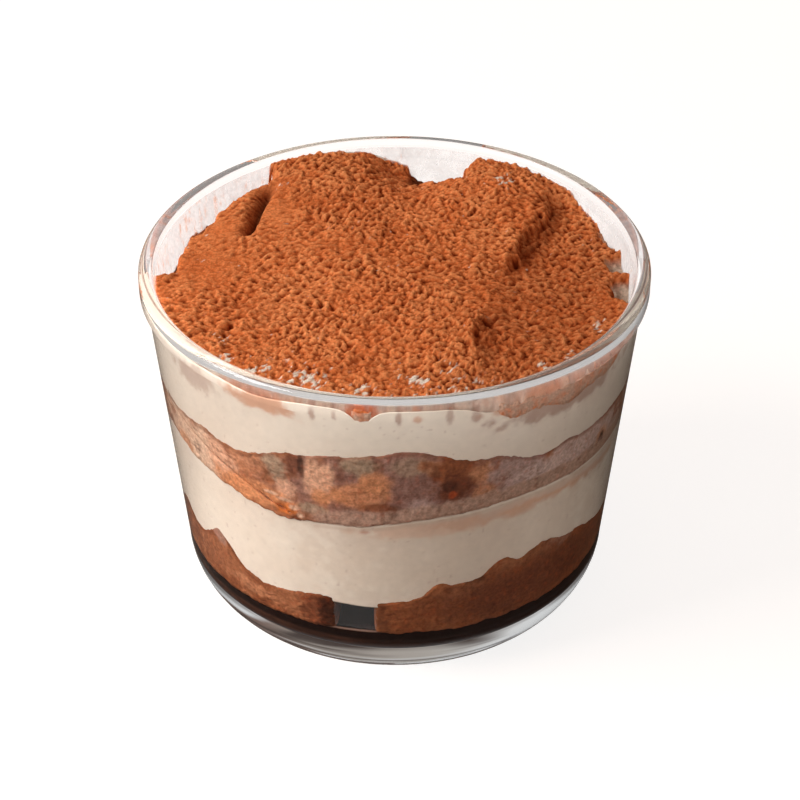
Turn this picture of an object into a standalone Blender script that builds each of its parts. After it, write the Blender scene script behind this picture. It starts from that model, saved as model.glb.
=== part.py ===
"""Tiramisu in a short, tapered, clear glass tumbler.

From the bottom up the glass holds a pool of coffee, a layer of sponge fingers, a
layer of cream, a second layer of sponge fingers, more cream and a heaped crust of
cocoa. The origin is on the axis at the level the glass rests on. +Z is up and -Y is
the front. The sizes below are in millimetres and degrees, and azimuths run from the
front, counted towards +X.
"""

import math
from dataclasses import dataclass

import bmesh
import bpy
from mathutils import Vector

MM = 0.001
GAP = 0.3

# The glass: a straight cone with a thicker rim band and a rounded heel.
GLASS_HEIGHT = 64.6
RIM_RADIUS = 43.0
BAND_HEIGHT = 4.2
BAND_PROUD = 0.6
LIP_RADIUS = 1.25
FOOT_RADIUS = 36.5
WALL = 2.0
HEEL_RADIUS = 11.0
FLOOR_HEIGHT = 6.2
FLOOR_CORNER = 9.0
PUNT_RADIUS = 22.0
PUNT_DEPTH = 0.8
REST_INNER_RADIUS = 23.6
GLASS_SEGMENTS = 60
ARC_STEPS = 4

# The fillings.
FILLING_SEGMENTS = 54
COFFEE_LEVEL = 12.4
FINGER_POINTS = 20
FINGER_EDGE = 0.9
FINGER_CLEARANCE = 0.6
FINGER_ROUNDING = 10
FINGER_RING_SHARES = (0.4, 0.75, 1.0)
COCOA_DEPTH = 1.7
COCOA_LEVEL = 61.9
TERRACE_DROP = 2.2
TERRACE_SHARPNESS = 1.4
TERRACE_X = 19.3
TERRACE_LEAN = 0.3
POCKET_SOFTNESS = 1.2


@dataclass(frozen=True)
class Swell:
    """A rise, or with a minus sign a dip, in a layer's edge along the wall."""

    azimuth: float
    rise: float
    width: float


@dataclass(frozen=True)
class Mound:
    """A round heap on the cocoa, centred on x and y."""

    x: float
    y: float
    rise: float
    reach: float


@dataclass(frozen=True)
class Pocket:
    """A place where the cocoa stops short of the wall and falls away to a floor."""

    azimuth: float
    half_angle: float
    edge_radius: float
    floor: float


@dataclass(frozen=True)
class Finger:
    """A sponge finger's strip that runs from wall to wall.

    heading turns it away from front to back, left and right bound it across, and under
    and over are the surfaces that it lies between.
    """

    name: str
    heading: float
    left: float
    right: float
    under: object
    over: object


LOW_TOP_BASE = 21.3
LOW_TOP_SWELLS = (
    Swell(-52, 3.0, 9),
    Swell(-34, -2.2, 14),
    Swell(-6, -1.0, 9),
    Swell(30, 5.6, 19),
    Swell(100, -1.5, 18),
    Swell(140, 2.6, 14),
    Swell(180, -1.2, 12),
    Swell(-140, 2.2, 16),
    Swell(-100, 1.0, 12),
)
MID_UNDER_BASE = 38.7
MID_UNDER_SWELLS = (
    Swell(-67, 1.2, 8),
    Swell(-30, -2.4, 15),
    Swell(-8, -1.2, 10),
    Swell(32, 1.0, 18),
    Swell(105, -1.2, 20),
    Swell(150, 1.2, 18),
    Swell(-150, -1.4, 20),
    Swell(-105, 0.8, 14),
)
MID_TOP_BASE = 47.1
MID_TOP_SWELLS = (
    Swell(-52, 0.9, 6),
    Swell(-16, 4.6, 17),
    Swell(8, 6.0, 14),
    Swell(28, 1.6, 6),
    Swell(95, -1.0, 14),
    Swell(140, 1.8, 16),
    Swell(176, 5.2, 18),
    Swell(-140, 1.6, 14),
    Swell(-95, 0.6, 12),
)
CREAM_EDGE_DIPS = (
    Swell(-52, -4.2, 8),
    Swell(-31, -1.6, 8),
    Swell(-7, -0.8, 4),
    Swell(30, -3.4, 7),
    Swell(45, -6.4, 10),
    Swell(58, -3.6, 6),
)

MOUNDS = (
    Mound(-14.0, 29.0, 2.6, 13.0),
    Mound(18.0, 26.0, 2.4, 11.0),
    Mound(-26.0, 20.0, 1.2, 9.0),
    Mound(-6.0, 6.0, 1.3, 15.0),
    Mound(4.0, 31.0, -2.2, 6.5),
    Mound(-22.0, -18.0, -0.5, 12.0),
    Mound(31.0, -8.0, -1.0, 9.0),
    Mound(12.0, -20.0, 0.5, 9.0),
)
POCKETS = (
    Pocket(-116.0, 27.0, 35.5, 57.8),
    Pocket(169.0, 13.0, 32.5, 56.8),
    Pocket(98.0, 15.0, 35.5, 56.6),
)


def slope():
    """The wall's lean outwards: millimetres of radius for each of height."""
    return (RIM_RADIUS - BAND_PROUD - FOOT_RADIUS) / GLASS_HEIGHT


def outer_radius(z):
    return FOOT_RADIUS + slope() * z


def inner_radius(z):
    """The cavity's radius at a height, with its rounded corner above the floor."""
    wall = outer_radius(z) - WALL
    above = FLOOR_HEIGHT + FLOOR_CORNER - z
    if above <= 0:
        return wall
    centre = outer_radius(FLOOR_HEIGHT + FLOOR_CORNER) - WALL - FLOOR_CORNER
    return centre + math.sqrt(max(FLOOR_CORNER**2 - above**2, 0.0))


def arc(centre, radius, start, end, steps=ARC_STEPS):
    """Points on a quarter or half round in the (radius, height) plane."""
    points = []
    for step in range(steps + 1):
        angle = math.radians(start + (end - start) * step / steps)
        points.append(
            (centre[0] + radius * math.cos(angle), centre[1] + radius * math.sin(angle))
        )
    return points


def direction(azimuth):
    """The unit vector away from the axis at an azimuth in degrees from the front."""
    angle = math.radians(azimuth)
    return Vector((math.sin(angle), -math.cos(angle)))


def azimuth_of(x, y):
    return math.degrees(math.atan2(x, -y))


def turn_between(azimuth, other):
    """How far one azimuth lies from another, from -180 to 180."""
    return (azimuth - other + 180.0) % 360.0 - 180.0


def wavy(base, swells):
    """A surface height that is level at the axis and takes its swells at the wall."""

    def height(x, y):
        share = min(math.hypot(x, y) / inner_radius(base), 1.0)
        azimuth = azimuth_of(x, y)
        rise = sum(
            swell.rise * math.exp(-((turn_between(azimuth, swell.azimuth) / swell.width) ** 2))
            for swell in swells
        )
        return base + rise * share**2

    return height


def step(value, softness):
    """A soft step from 0 to 1 as value passes from negative to positive."""
    return 0.5 + 0.5 * math.tanh(value / softness)


def cocoa_top(x, y):
    """The heaped cocoa's height: mounds, a terrace on the right, pockets at the wall."""
    radius = math.hypot(x, y)
    azimuth = azimuth_of(x, y)
    height = COCOA_LEVEL
    for mound in MOUNDS:
        away = math.hypot(x - mound.x, y - mound.y) / mound.reach
        height += mound.rise * math.exp(-(away**2))
    terrace_edge = TERRACE_X + TERRACE_LEAN * y
    height -= TERRACE_DROP * step(x - terrace_edge, TERRACE_SHARPNESS)
    for pocket in POCKETS:
        aside = pocket.half_angle - abs(turn_between(azimuth, pocket.azimuth))
        inside = step(math.radians(aside) * radius, POCKET_SOFTNESS) * step(
            radius - pocket.edge_radius, POCKET_SOFTNESS
        )
        height += (pocket.floor - height) * inside
    return height


def cream_top(x, y):
    """The cream under the cocoa, with the dips that the cocoa fills along the wall."""
    near_wall = step(math.hypot(x, y) - inner_radius(COCOA_LEVEL) + 2.5, 1.0)
    azimuth = azimuth_of(x, y)
    dip = sum(
        swell.rise * math.exp(-((turn_between(azimuth, swell.azimuth) / swell.width) ** 2))
        for swell in CREAM_EDGE_DIPS
    )
    return cocoa_top(x, y) - COCOA_DEPTH + dip * near_wall


LOW_TOP = wavy(LOW_TOP_BASE, LOW_TOP_SWELLS)
MID_UNDER = wavy(MID_UNDER_BASE, MID_UNDER_SWELLS)
MID_TOP = wavy(MID_TOP_BASE, MID_TOP_SWELLS)


def raised(surface, by):
    return lambda x, y: surface(x, y) + by


def coffee_surface(x, y):
    """The pool is level, wherever it is looked at."""
    return COFFEE_LEVEL


# On the left of the upper layer a finger lies rolled against the wall, and a wedge of
# another one fills the space over its slope.
ROLLED_TOP = 47.0
ROLLED_WALL_X = -37.0
ROLLED_SLOPE = 0.46
ROLLED_THIN = 3.3


def rolled_top(x, y):
    """The upper face of the rolled finger, which slopes down to its thin edge."""
    slope = ROLLED_TOP - ROLLED_SLOPE * (x - ROLLED_WALL_X)
    return max(slope, MID_UNDER(x, y) + ROLLED_THIN)


FINGERS = (
    Finger("finger_low_left", 4.0, -60.0, -7.0, coffee_surface, LOW_TOP),
    Finger("finger_low_right", 0.0, -3.4, 29.0, coffee_surface, LOW_TOP),
    Finger("finger_low_side", 0.0, 29.8, 60.0, coffee_surface, LOW_TOP),
    Finger("finger_mid_left", 0.0, -60.0, -20.0, MID_UNDER, rolled_top),
    Finger("finger_mid_wedge", 0.0, -29.5, -17.8, rolled_top, MID_TOP),
    Finger("finger_mid_centre", 0.0, -17.0, 16.0, MID_UNDER, MID_TOP),
    Finger("finger_mid_right", 0.0, 16.8, 60.0, MID_UNDER, MID_TOP),
)


def clear_scene():
    for obj in list(bpy.data.objects):
        bpy.data.objects.remove(obj, do_unlink=True)


def material(name, colour, roughness, transmission=0.0, alpha=1.0):
    """A Principled material with one colour."""
    made = bpy.data.materials.new(name)
    made.use_nodes = True
    shader = made.node_tree.nodes["Principled BSDF"]
    shader.inputs["Base Color"].default_value = (*colour, 1.0)
    shader.inputs["Roughness"].default_value = roughness
    shader.inputs["Metallic"].default_value = 0.0
    shader.inputs["Transmission Weight"].default_value = transmission
    shader.inputs["Alpha"].default_value = alpha
    made.diffuse_color = (*colour, alpha)
    return made


def shaped(name, build, finish, smooth=True):
    """An object whose mesh the function build fills, facing outwards."""
    work = bmesh.new()
    build(work)
    bmesh.ops.recalc_face_normals(work, faces=work.faces)
    mesh = bpy.data.meshes.new(name)
    work.to_mesh(mesh)
    work.free()
    if smooth:
        mesh.shade_smooth()
        mesh.set_sharp_from_angle(angle=math.radians(40))
    mesh.materials.append(finish)
    obj = bpy.data.objects.new(name, mesh)
    bpy.context.scene.collection.objects.link(obj)
    return obj


def add_ring(work, points):
    return [work.verts.new(Vector(point) * MM) for point in points]


def add_band(work, inner, outer):
    """The triangles between two rings of the same length."""
    count = len(inner)
    for i in range(count):
        j = (i + 1) % count
        work.faces.new((inner[i], inner[j], outer[j]))
        work.faces.new((inner[i], outer[j], outer[i]))


def add_fan(work, centre, ring):
    """The triangles that close a ring onto one point."""
    middle = work.verts.new(Vector(centre) * MM)
    count = len(ring)
    for i in range(count):
        work.faces.new((middle, ring[i], ring[(i + 1) % count]))


def add_rings(work, rings, first, last):
    """A closed body of rings, fanned onto a first and a last point."""
    made = [add_ring(work, ring) for ring in rings]
    add_fan(work, first, made[0])
    for ring, following in zip(made, made[1:]):
        add_band(work, ring, following)
    add_fan(work, last, made[-1])


def turned(name, profile, segments, finish):
    """A body turned about the axis from (radius, height) points that start and end on it."""

    def build(work):
        rings = []
        for radius, height in profile[1:-1]:
            turns = [direction(360.0 * i / segments) * radius for i in range(segments)]
            rings.append([(turn.x, turn.y, height) for turn in turns])
        add_rings(work, rings, (0, 0, profile[0][1]), (0, 0, profile[-1][1]))

    return shaped(name, build, finish)


def glass_profile():
    """The tumbler's section, from under its floor round the rim to its floor."""
    heel_centre = (outer_radius(HEEL_RADIUS) - HEEL_RADIUS, HEEL_RADIUS)
    band_foot = GLASS_HEIGHT - BAND_HEIGHT
    lip_centre = (RIM_RADIUS - LIP_RADIUS, GLASS_HEIGHT - LIP_RADIUS)
    corner_height = FLOOR_HEIGHT + FLOOR_CORNER
    corner_centre = (outer_radius(corner_height) - WALL - FLOOR_CORNER, corner_height)
    return (
        [(0.0, PUNT_DEPTH), (PUNT_RADIUS, PUNT_DEPTH), (REST_INNER_RADIUS, 0.0)]
        + arc(heel_centre, HEEL_RADIUS, -90, 0)
        + [(outer_radius(band_foot), band_foot), (RIM_RADIUS, band_foot + BAND_PROUD)]
        + arc(lip_centre, LIP_RADIUS, 0, 180)
        + [(inner_radius(band_foot), band_foot)]
        + arc(corner_centre, FLOOR_CORNER, 0, -90)
        + [(0.0, FLOOR_HEIGHT)]
    )


def coffee_profile():
    """The pool's section, from its floor up the rounded corner to its level."""
    corner_height = FLOOR_HEIGHT + FLOOR_CORNER
    corner = (outer_radius(corner_height) - WALL - FLOOR_CORNER, corner_height)
    top_angle = math.degrees(math.asin((COFFEE_LEVEL - corner_height) / (FLOOR_CORNER - GAP)))
    return (
        [(0.0, FLOOR_HEIGHT + GAP)]
        + arc(corner, FLOOR_CORNER - GAP, -90, top_angle)
        + [(0.0, COFFEE_LEVEL)]
    )


def wall_point(azimuth, surface, start):
    """Where a surface meets the wall, less the gap, found by stepping towards it."""
    height = start
    for _ in range(6):
        point = direction(azimuth) * (inner_radius(height) - GAP)
        height = surface(point.x, point.y)
    return point, height


def layer(name, under, over, start, rings_under, rings_over, finish):
    """A filling between two surfaces that reaches the wall all round."""

    def cap(work, surface, count):
        """One side of the layer, fanned at the axis. Returns its ring at the wall."""
        rings = []
        for k in range(1, count + 1):
            share = k / count
            ring = []
            for i in range(FILLING_SEGMENTS):
                edge, height = wall_point(360.0 * i / FILLING_SEGMENTS, surface, start)
                point = edge * share
                if share < 1.0:
                    height = surface(point.x, point.y)
                ring.append((point.x, point.y, height))
            rings.append(add_ring(work, ring))
        add_fan(work, (0, 0, surface(0, 0)), rings[0])
        for inner, outer in zip(rings, rings[1:]):
            add_band(work, inner, outer)
        return rings[-1]

    def build(work):
        add_band(work, cap(work, under, rings_under), cap(work, over, rings_over))

    return shaped(name, build, finish)


def strip_outline(finger, wall_radius):
    """Evenly spaced points round the finger's strip, rounded where it meets the wall."""
    heading = math.radians(finger.heading)
    across = Vector((math.cos(heading), -math.sin(heading)))
    sides = ((across, finger.right), (-across, -finger.left))
    left = max(finger.left, -wall_radius)
    right = min(finger.right, wall_radius)
    centre = across * (left + right) / 2

    def reach(angle):
        way = Vector((math.cos(angle), math.sin(angle)))
        inner = centre.dot(way)
        limits = [-inner + math.sqrt(inner**2 + wall_radius**2 - centre.length_squared)]
        for normal, limit in sides:
            if way.dot(normal) > 1e-6:
                limits.append((limit - centre.dot(normal)) / way.dot(normal))
        nearest = sum(limit**-FINGER_ROUNDING for limit in limits)
        return centre + way * nearest ** (-1 / FINGER_ROUNDING)

    samples = 240
    dense = [reach(2 * math.pi * i / samples) for i in range(samples + 1)]
    lengths = [0.0]
    for first, second in zip(dense, dense[1:]):
        lengths.append(lengths[-1] + (second - first).length)
    outline = []
    k = 0
    for i in range(FINGER_POINTS):
        target = lengths[-1] * i / FINGER_POINTS
        while lengths[k + 1] < target:
            k += 1
        share = (target - lengths[k]) / (lengths[k + 1] - lengths[k])
        outline.append(dense[k].lerp(dense[k + 1], share))
    return centre, outline


def finger_body(finger, finish):
    """A sponge finger as a pillow between its two surfaces, with softly rounded edges."""
    middle = finger.under(0, 0) / 2 + finger.over(0, 0) / 2
    wall_radius = inner_radius(middle) - GAP
    centre, outline = strip_outline(finger, wall_radius)

    def ring(on_top, share, inset, drop):
        points = []
        for corner in outline:
            spoke = corner - centre
            point = centre + spoke * share * (1.0 - inset / spoke.length)
            if on_top:
                height = finger.over(point.x, point.y) - FINGER_CLEARANCE - drop
            else:
                height = finger.under(point.x, point.y) + FINGER_CLEARANCE + drop
            point = point * (inner_radius(height) - GAP) / wall_radius
            points.append((point.x, point.y, height))
        return points

    def build(work):
        bend = FINGER_EDGE * (1.0 - math.sqrt(0.5))
        stations = [(share, FINGER_EDGE, 0.0) for share in FINGER_RING_SHARES]
        stations += [(1.0, bend, bend), (1.0, 0.0, FINGER_EDGE)]
        rings = [ring(False, *station) for station in stations]
        rings += [ring(True, *station) for station in reversed(stations)]
        low = finger.under(*centre) + FINGER_CLEARANCE
        high = finger.over(*centre) - FINGER_CLEARANCE
        add_rings(work, rings, (*centre, low), (*centre, high))

    return shaped(finger.name, build, finish)


def main():
    clear_scene()
    glass = material("clear_glass", (0.93, 0.95, 0.95), 0.02, 1.0, 0.35)
    coffee = material("coffee", (0.022, 0.009, 0.005), 0.15)
    sponge = material("soaked_sponge", (0.36, 0.16, 0.07), 0.85)
    cream = material("cream", (0.84, 0.74, 0.62), 0.5)
    cocoa = material("cocoa", (0.40, 0.12, 0.035), 0.95)

    turned("glass", glass_profile(), GLASS_SEGMENTS, glass)
    turned("coffee", coffee_profile(), FILLING_SEGMENTS, coffee)
    for finger in FINGERS:
        finger_body(finger, sponge)
    layer(
        "cream_lower", raised(LOW_TOP, GAP), raised(MID_UNDER, -GAP),
        LOW_TOP_BASE, 5, 5, cream,
    )
    layer(
        "cream_upper", raised(MID_TOP, GAP), cream_top,
        MID_TOP_BASE, 5, 6, cream,
    )
    layer(
        "cocoa", raised(cream_top, GAP), cocoa_top,
        COCOA_LEVEL, 6, 13, cocoa,
    )


main()
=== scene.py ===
"""Looks for a tiramisu in a short, tapered, clear glass tumbler.

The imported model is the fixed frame: it gives the glass's height and width and the level
of each filling. Every filling is made again here with its fine surface and reaches just
into the glass's wall, and the glass is turned again as a smooth body. Lengths are in
millimetres until a mesh is written, and azimuths are degrees from the front towards +X.
"""

import logging
import math
from dataclasses import dataclass
from enum import Enum
from typing import Callable, Sequence

import bpy
import numpy as np
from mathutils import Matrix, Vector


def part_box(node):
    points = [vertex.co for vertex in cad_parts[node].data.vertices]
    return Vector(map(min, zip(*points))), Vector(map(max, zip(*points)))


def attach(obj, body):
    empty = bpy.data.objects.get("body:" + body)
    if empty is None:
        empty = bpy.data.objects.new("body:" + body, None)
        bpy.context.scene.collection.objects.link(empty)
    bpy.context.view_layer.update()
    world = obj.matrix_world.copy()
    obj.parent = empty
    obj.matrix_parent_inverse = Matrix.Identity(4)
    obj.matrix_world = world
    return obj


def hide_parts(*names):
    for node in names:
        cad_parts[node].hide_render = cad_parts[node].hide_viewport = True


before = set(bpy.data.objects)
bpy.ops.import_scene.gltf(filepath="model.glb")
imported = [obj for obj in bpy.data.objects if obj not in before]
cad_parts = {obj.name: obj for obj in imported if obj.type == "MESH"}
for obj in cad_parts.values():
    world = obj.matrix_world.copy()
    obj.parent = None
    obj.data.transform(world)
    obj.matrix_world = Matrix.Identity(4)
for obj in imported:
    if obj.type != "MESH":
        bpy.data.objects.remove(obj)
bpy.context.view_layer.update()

MM = 0.001
BODY = "root"
# a radius near the wall's, at which relief that follows the wall is read
WALL_REACH = 40.0
LOG = logging.getLogger("tiramisu")

Field = Callable[[np.ndarray, np.ndarray], np.ndarray]
Colour = tuple[float, float, float]


# ---------------------------------------------------------------- shared tools


def linear(red: int, green: int, blue: int) -> Colour:
    """A screen colour of 0 to 255 a channel as linear light."""

    def channel(value: int) -> float:
        """One channel as linear light."""
        share = value / 255.0
        return share / 12.92 if share <= 0.04045 else ((share + 0.055) / 1.055) ** 2.4

    return channel(red), channel(green), channel(blue)


def step(value: np.ndarray, softness: float) -> np.ndarray:
    """A soft step from 0 to 1 as value passes from negative to positive."""
    return 0.5 + 0.5 * np.tanh(value / softness)


def azimuth_of(x: np.ndarray, y: np.ndarray) -> np.ndarray:
    """The azimuth of each point, in degrees from the front towards +X."""
    return np.degrees(np.arctan2(x, -y))


def radius_of(points: np.ndarray) -> np.ndarray:
    """Each point's distance from the glass's axis."""
    return np.hypot(points[:, 0], points[:, 1])


def turn_between(azimuth: np.ndarray, other: float) -> np.ndarray:
    """How far each azimuth lies from another one, from -180 to 180."""
    return (azimuth - other + 180.0) % 360.0 - 180.0


def level(node: str, top: bool) -> float:
    """The height of a CAD node's top or foot, in millimetres."""
    return float(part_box(node)[1 if top else 0][2]) / MM


class Relief:
    """Smooth random relief that is the same on every run."""

    SIDE = 48
    FINER = 0.48
    FAINTER = 0.55
    SHIFT = 7.3
    REACH = 1.6

    def __init__(self, seed: int) -> None:
        """Draws the lattice of random values for one seed."""
        self.lattice = np.random.default_rng(seed).uniform(-1.0, 1.0, (self.SIDE,) * 3)

    def at(self, points: np.ndarray, size: float) -> np.ndarray:
        """Reads the relief.

        Args:
            points: The places, one row of three for each.
            size: The length of one swell.

        Returns:
            One value of -1 to 1 for each place.
        """
        scaled = points / size
        cell = np.floor(scaled).astype(int)
        part = scaled - cell
        part = part * part * part * (part * (part * 6.0 - 15.0) + 10.0)
        total = np.zeros(len(points))
        for corner in range(8):
            offset = np.array([corner & 1, (corner >> 1) & 1, corner >> 2])
            index = (cell + offset) % self.SIDE
            weight = np.prod(np.where(offset, part, 1.0 - part), axis=1)
            total += weight * self.lattice[index[:, 0], index[:, 1], index[:, 2]]
        return total

    def rough(self, points: np.ndarray, size: float, octaves: int) -> np.ndarray:
        """Adds finer and finer swells.

        Args:
            points: The places, one row of three for each.
            size: The length of the largest swell.
            octaves: How many sizes are added, each about half the one before.

        Returns:
            One value of about -1 to 1 for each place.
        """
        total = np.zeros(len(points))
        turned = points
        share = 1.0
        for _ in range(octaves):
            total += share * self.at(turned, size)
            turned = turned[:, [1, 2, 0]] + self.SHIFT
            size *= self.FINER
            share *= self.FAINTER
        return total / self.REACH

    def puffs(self, points: np.ndarray, size: float) -> np.ndarray:
        """Round lumps with sharp creases between them, from 0 in a crease to about 1."""
        return np.abs(self.at(points, size)) * self.REACH


def mesh_object(
    name: str,
    points: np.ndarray,
    faces: Sequence[Sequence[int]],
    finish: bpy.types.Material,
    tint: np.ndarray | None = None,
) -> bpy.types.Object:
    """Writes one piece.

    Args:
        name: The piece's name.
        points: Its points in millimetres, one row of three for each.
        faces: Its faces, facing outwards.
        finish: Its material.
        tint: A linear colour for each point, with an alpha or without, or None.

    Returns:
        The new object, shaded smooth.
    """
    mesh = bpy.data.meshes.new(name)
    mesh.from_pydata((points * MM).tolist(), [], faces)
    if tint is not None:
        colours = np.ones((len(points), 4))
        colours[:, : tint.shape[1]] = np.clip(tint, 0.0, 1.0)
        layer = mesh.color_attributes.new("tint", "FLOAT_COLOR", "POINT")
        layer.data.foreach_set("color", colours.ravel())
    mesh.materials.append(finish)
    mesh.shade_smooth()
    mesh.update()
    made = bpy.data.objects.new(name, mesh)
    bpy.context.scene.collection.objects.link(made)
    return made


def as_faces(corners: np.ndarray) -> list[tuple[int, ...]]:
    """Faces as tuples, from an array whose last axis holds each face's corners."""
    return [tuple(face) for face in corners.reshape(-1, corners.shape[-1]).tolist()]


def ring_faces(rings: int, count: int) -> list[tuple[int, ...]]:
    """The faces of a body of rings that is fanned onto a point at each end.

    Args:
        rings: How many rings there are, from the foot up.
        count: How many points each ring has, counted anticlockwise from above.

    Returns:
        The faces, for points in the order first, rings, last.
    """
    around = np.arange(count)
    after = (around + 1) % count
    faces: list[tuple[int, ...]] = []
    faces += [(0, 1 + int(b), 1 + int(a)) for a, b in zip(around, after)]
    for ring in range(rings - 1):
        low = 1 + ring * count
        high = low + count
        quads = np.stack([low + around, low + after, high + after, high + around], axis=1)
        faces += as_faces(quads)
    top = 1 + (rings - 1) * count
    last = 1 + rings * count
    faces += [(last, top + int(a), top + int(b)) for a, b in zip(around, after)]
    return faces


def turned_body(
    section: Sequence[tuple[float, float]], count: int
) -> tuple[np.ndarray, list[tuple[int, ...]]]:
    """Turns a section about the axis.

    Args:
        section: Its radii and heights, with the first and the last point on the axis.
        count: How many points go round.

    Returns:
        The points and the faces.
    """
    angles = np.linspace(0.0, 2.0 * math.pi, count, endpoint=False)
    cosine, sine = np.cos(angles), np.sin(angles)
    rings = [
        np.stack([radius * cosine, radius * sine, np.full(count, height)], axis=1)
        for radius, height in section[1:-1]
    ]
    first, last = (np.array([[0.0, 0.0, section[k][1]]]) for k in (0, -1))
    return np.concatenate([first, *rings, last]), ring_faces(len(rings), count)


def refinish(
    piece: bpy.types.Object, finish: bpy.types.Material, chosen: Callable[[np.ndarray], np.ndarray]
) -> None:
    """Gives some of a piece's faces a second finish.

    Args:
        piece: The piece.
        finish: The second material.
        chosen: From the faces' centres in millimetres to whether each is chosen.
    """
    piece.data.materials.append(finish)
    centres = np.empty(len(piece.data.polygons) * 3)
    piece.data.polygons.foreach_get("center", centres)
    picked = chosen(centres.reshape(-1, 3) / MM)
    piece.data.polygons.foreach_set("material_index", picked.astype(np.int32))


def dress(piece: bpy.types.Object, slot: str, *nodes: str) -> bpy.types.Object:
    """Rides a piece on the body and hides the CAD nodes that it stands for."""
    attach(piece, BODY)
    if nodes:
        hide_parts(*nodes)
    LOG.info("%s: %d points", piece.name, len(piece.data.vertices))
    return piece


# ---------------------------------------------------------------- finishes


Socket = bpy.types.NodeSocket


class NodeBoard:
    """A node tree, with short ways to add and join nodes."""

    # where a noise's values mostly lie
    PATTERN_SPAN = (0.25, 0.75)
    # a Mix node's factor and two colours, and its colour result
    COLOUR_INPUTS = (0, 6, 7)
    COLOUR_OUTPUT = 2

    def __init__(self, tree: bpy.types.NodeTree) -> None:
        """Takes the tree that the nodes go on."""
        self.tree = tree

    def add(self, kind: str, **values: object) -> bpy.types.Node:
        """Adds a node.

        Args:
            kind: The node's type, without the leading ShaderNode.
            values: Properties of the node by name.

        Returns:
            The node.
        """
        node = self.tree.nodes.new("ShaderNode" + kind)
        for key, value in values.items():
            setattr(node, key, value)
        return node

    def put(self, target: Socket, value: Socket | float | tuple[float, ...]) -> None:
        """Links an output to an input, or sets the input's own value."""
        if isinstance(value, Socket):
            self.tree.links.new(value, target)
        else:
            target.default_value = value

    def textured(self, kind: str, scale: float) -> bpy.types.Node:
        """A texture in the object's own space; scale is swells or cells for each metre."""
        place = self.add("TexCoord")
        texture = self.add(kind)
        self.put(texture.inputs["Scale"], scale)
        self.put(texture.inputs["Vector"], place.outputs["Object"])
        return texture

    def noise(self, scale: float, detail: float = 3.0) -> Socket:
        """Cloudy noise in the object's own space."""
        texture = self.textured("TexNoise", scale)
        self.put(texture.inputs["Detail"], detail)
        return texture.outputs["Fac"]

    def pores(self, scale: float) -> Socket:
        """Round cells in the object's own space, dark in their middles."""
        return self.textured("TexVoronoi", scale).outputs["Distance"]

    def mapped(
        self, source: Socket, low: float, high: float, start: float = 0.0, end: float = 1.0
    ) -> Socket:
        """Maps a source from start to end onto low to high, and clamps it there."""
        ramp = self.add("MapRange")
        self.put(ramp.inputs["Value"], source)
        self.put(ramp.inputs["From Min"], start)
        self.put(ramp.inputs["From Max"], end)
        self.put(ramp.inputs["To Min"], low)
        self.put(ramp.inputs["To Max"], high)
        return ramp.outputs["Result"]

    def grey(self, pattern: Socket, low: float, high: float) -> Socket:
        """A grey of low to high that follows a pattern."""
        return self.mapped(pattern, low, high, *self.PATTERN_SPAN)

    def reckon(self, operation: str, first: Socket | float, second: Socket) -> Socket:
        """Reckons with two values and clamps the result from 0 to 1."""
        reckoned = self.add("Math", operation=operation, use_clamp=True)
        self.put(reckoned.inputs[0], first)
        self.put(reckoned.inputs[1], second)
        return reckoned.outputs["Value"]

    def blended(
        self,
        share: Socket | float,
        first: Socket | tuple[float, ...],
        second: Socket | tuple[float, ...],
        way: str = "MIX",
    ) -> Socket:
        """Blends a second colour over a first one, as far as a share says."""
        mix = self.add("Mix", data_type="RGBA", blend_type=way)
        for index, value in zip(self.COLOUR_INPUTS, (share, first, second)):
            self.put(mix.inputs[index], value)
        return mix.outputs[self.COLOUR_OUTPUT]

    def times(self, colour: Socket | tuple[float, ...], factor: Socket) -> Socket:
        """A colour multiplied by a factor."""
        return self.blended(1.0, colour, factor, "MULTIPLY")

    def mixed(self, share: Socket | float, first: Socket, second: Socket) -> Socket:
        """Mixes two shaders; share is how much of the second shows."""
        mix = self.add("MixShader")
        for index, value in enumerate((share, first, second)):
            self.put(mix.inputs[index], value)
        return mix.outputs["Shader"]


class MaterialBoard(NodeBoard):
    """The node tree of a new material."""

    def __init__(self, name: str) -> None:
        """Starts an empty material."""
        self.material = bpy.data.materials.new(name)
        self.material.use_nodes = True
        super().__init__(self.material.node_tree)
        self.tree.nodes.clear()

    def finish(self, shader: Socket) -> bpy.types.Material:
        """Joins the shader to the output and returns the material."""
        output = self.add("OutputMaterial")
        self.put(output.inputs["Surface"], shader)
        return self.material


@dataclass(frozen=True)
class FoodFinish:
    """A tinted food surface with mottling, pores and grain."""

    name: str
    roughness: float
    specular: float
    mottle_scale: float
    mottle_low: float
    mottle_high: float
    grain_scale: float
    grain_depth: float
    pore_scale: float = 0.0
    pore_shade: float = 1.0
    pore_glow: float = 1.12
    bump_strength: float = 0.8

    def make(self) -> bpy.types.Material:
        """Builds the material, which reads the colour painted on the piece."""
        board = MaterialBoard(self.name)
        tint = board.add("VertexColor", layer_name="tint").outputs["Color"]
        mottle = board.grey(board.noise(self.mottle_scale, 7.0), self.mottle_low, self.mottle_high)
        colour = board.times(tint, mottle)
        # the pores are painted darker in their middles, a painted shade in the holes, and a little
        # brighter between them
        if self.pore_scale > 0.0:
            pores = board.grey(board.pores(self.pore_scale), self.pore_shade, self.pore_glow)
            colour = board.times(colour, pores)
        bump = board.add("Bump")
        board.put(bump.inputs["Strength"], self.bump_strength)
        board.put(bump.inputs["Distance"], self.grain_depth)
        board.put(bump.inputs["Height"], board.noise(self.grain_scale, 5.0))
        shader = board.add("BsdfPrincipled")
        board.put(shader.inputs["Base Color"], colour)
        board.put(shader.inputs["Normal"], bump.outputs["Normal"])
        board.put(shader.inputs["Roughness"], self.roughness)
        board.put(shader.inputs["Specular IOR Level"], self.specular)
        return board.finish(shader.outputs["BSDF"])


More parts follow.
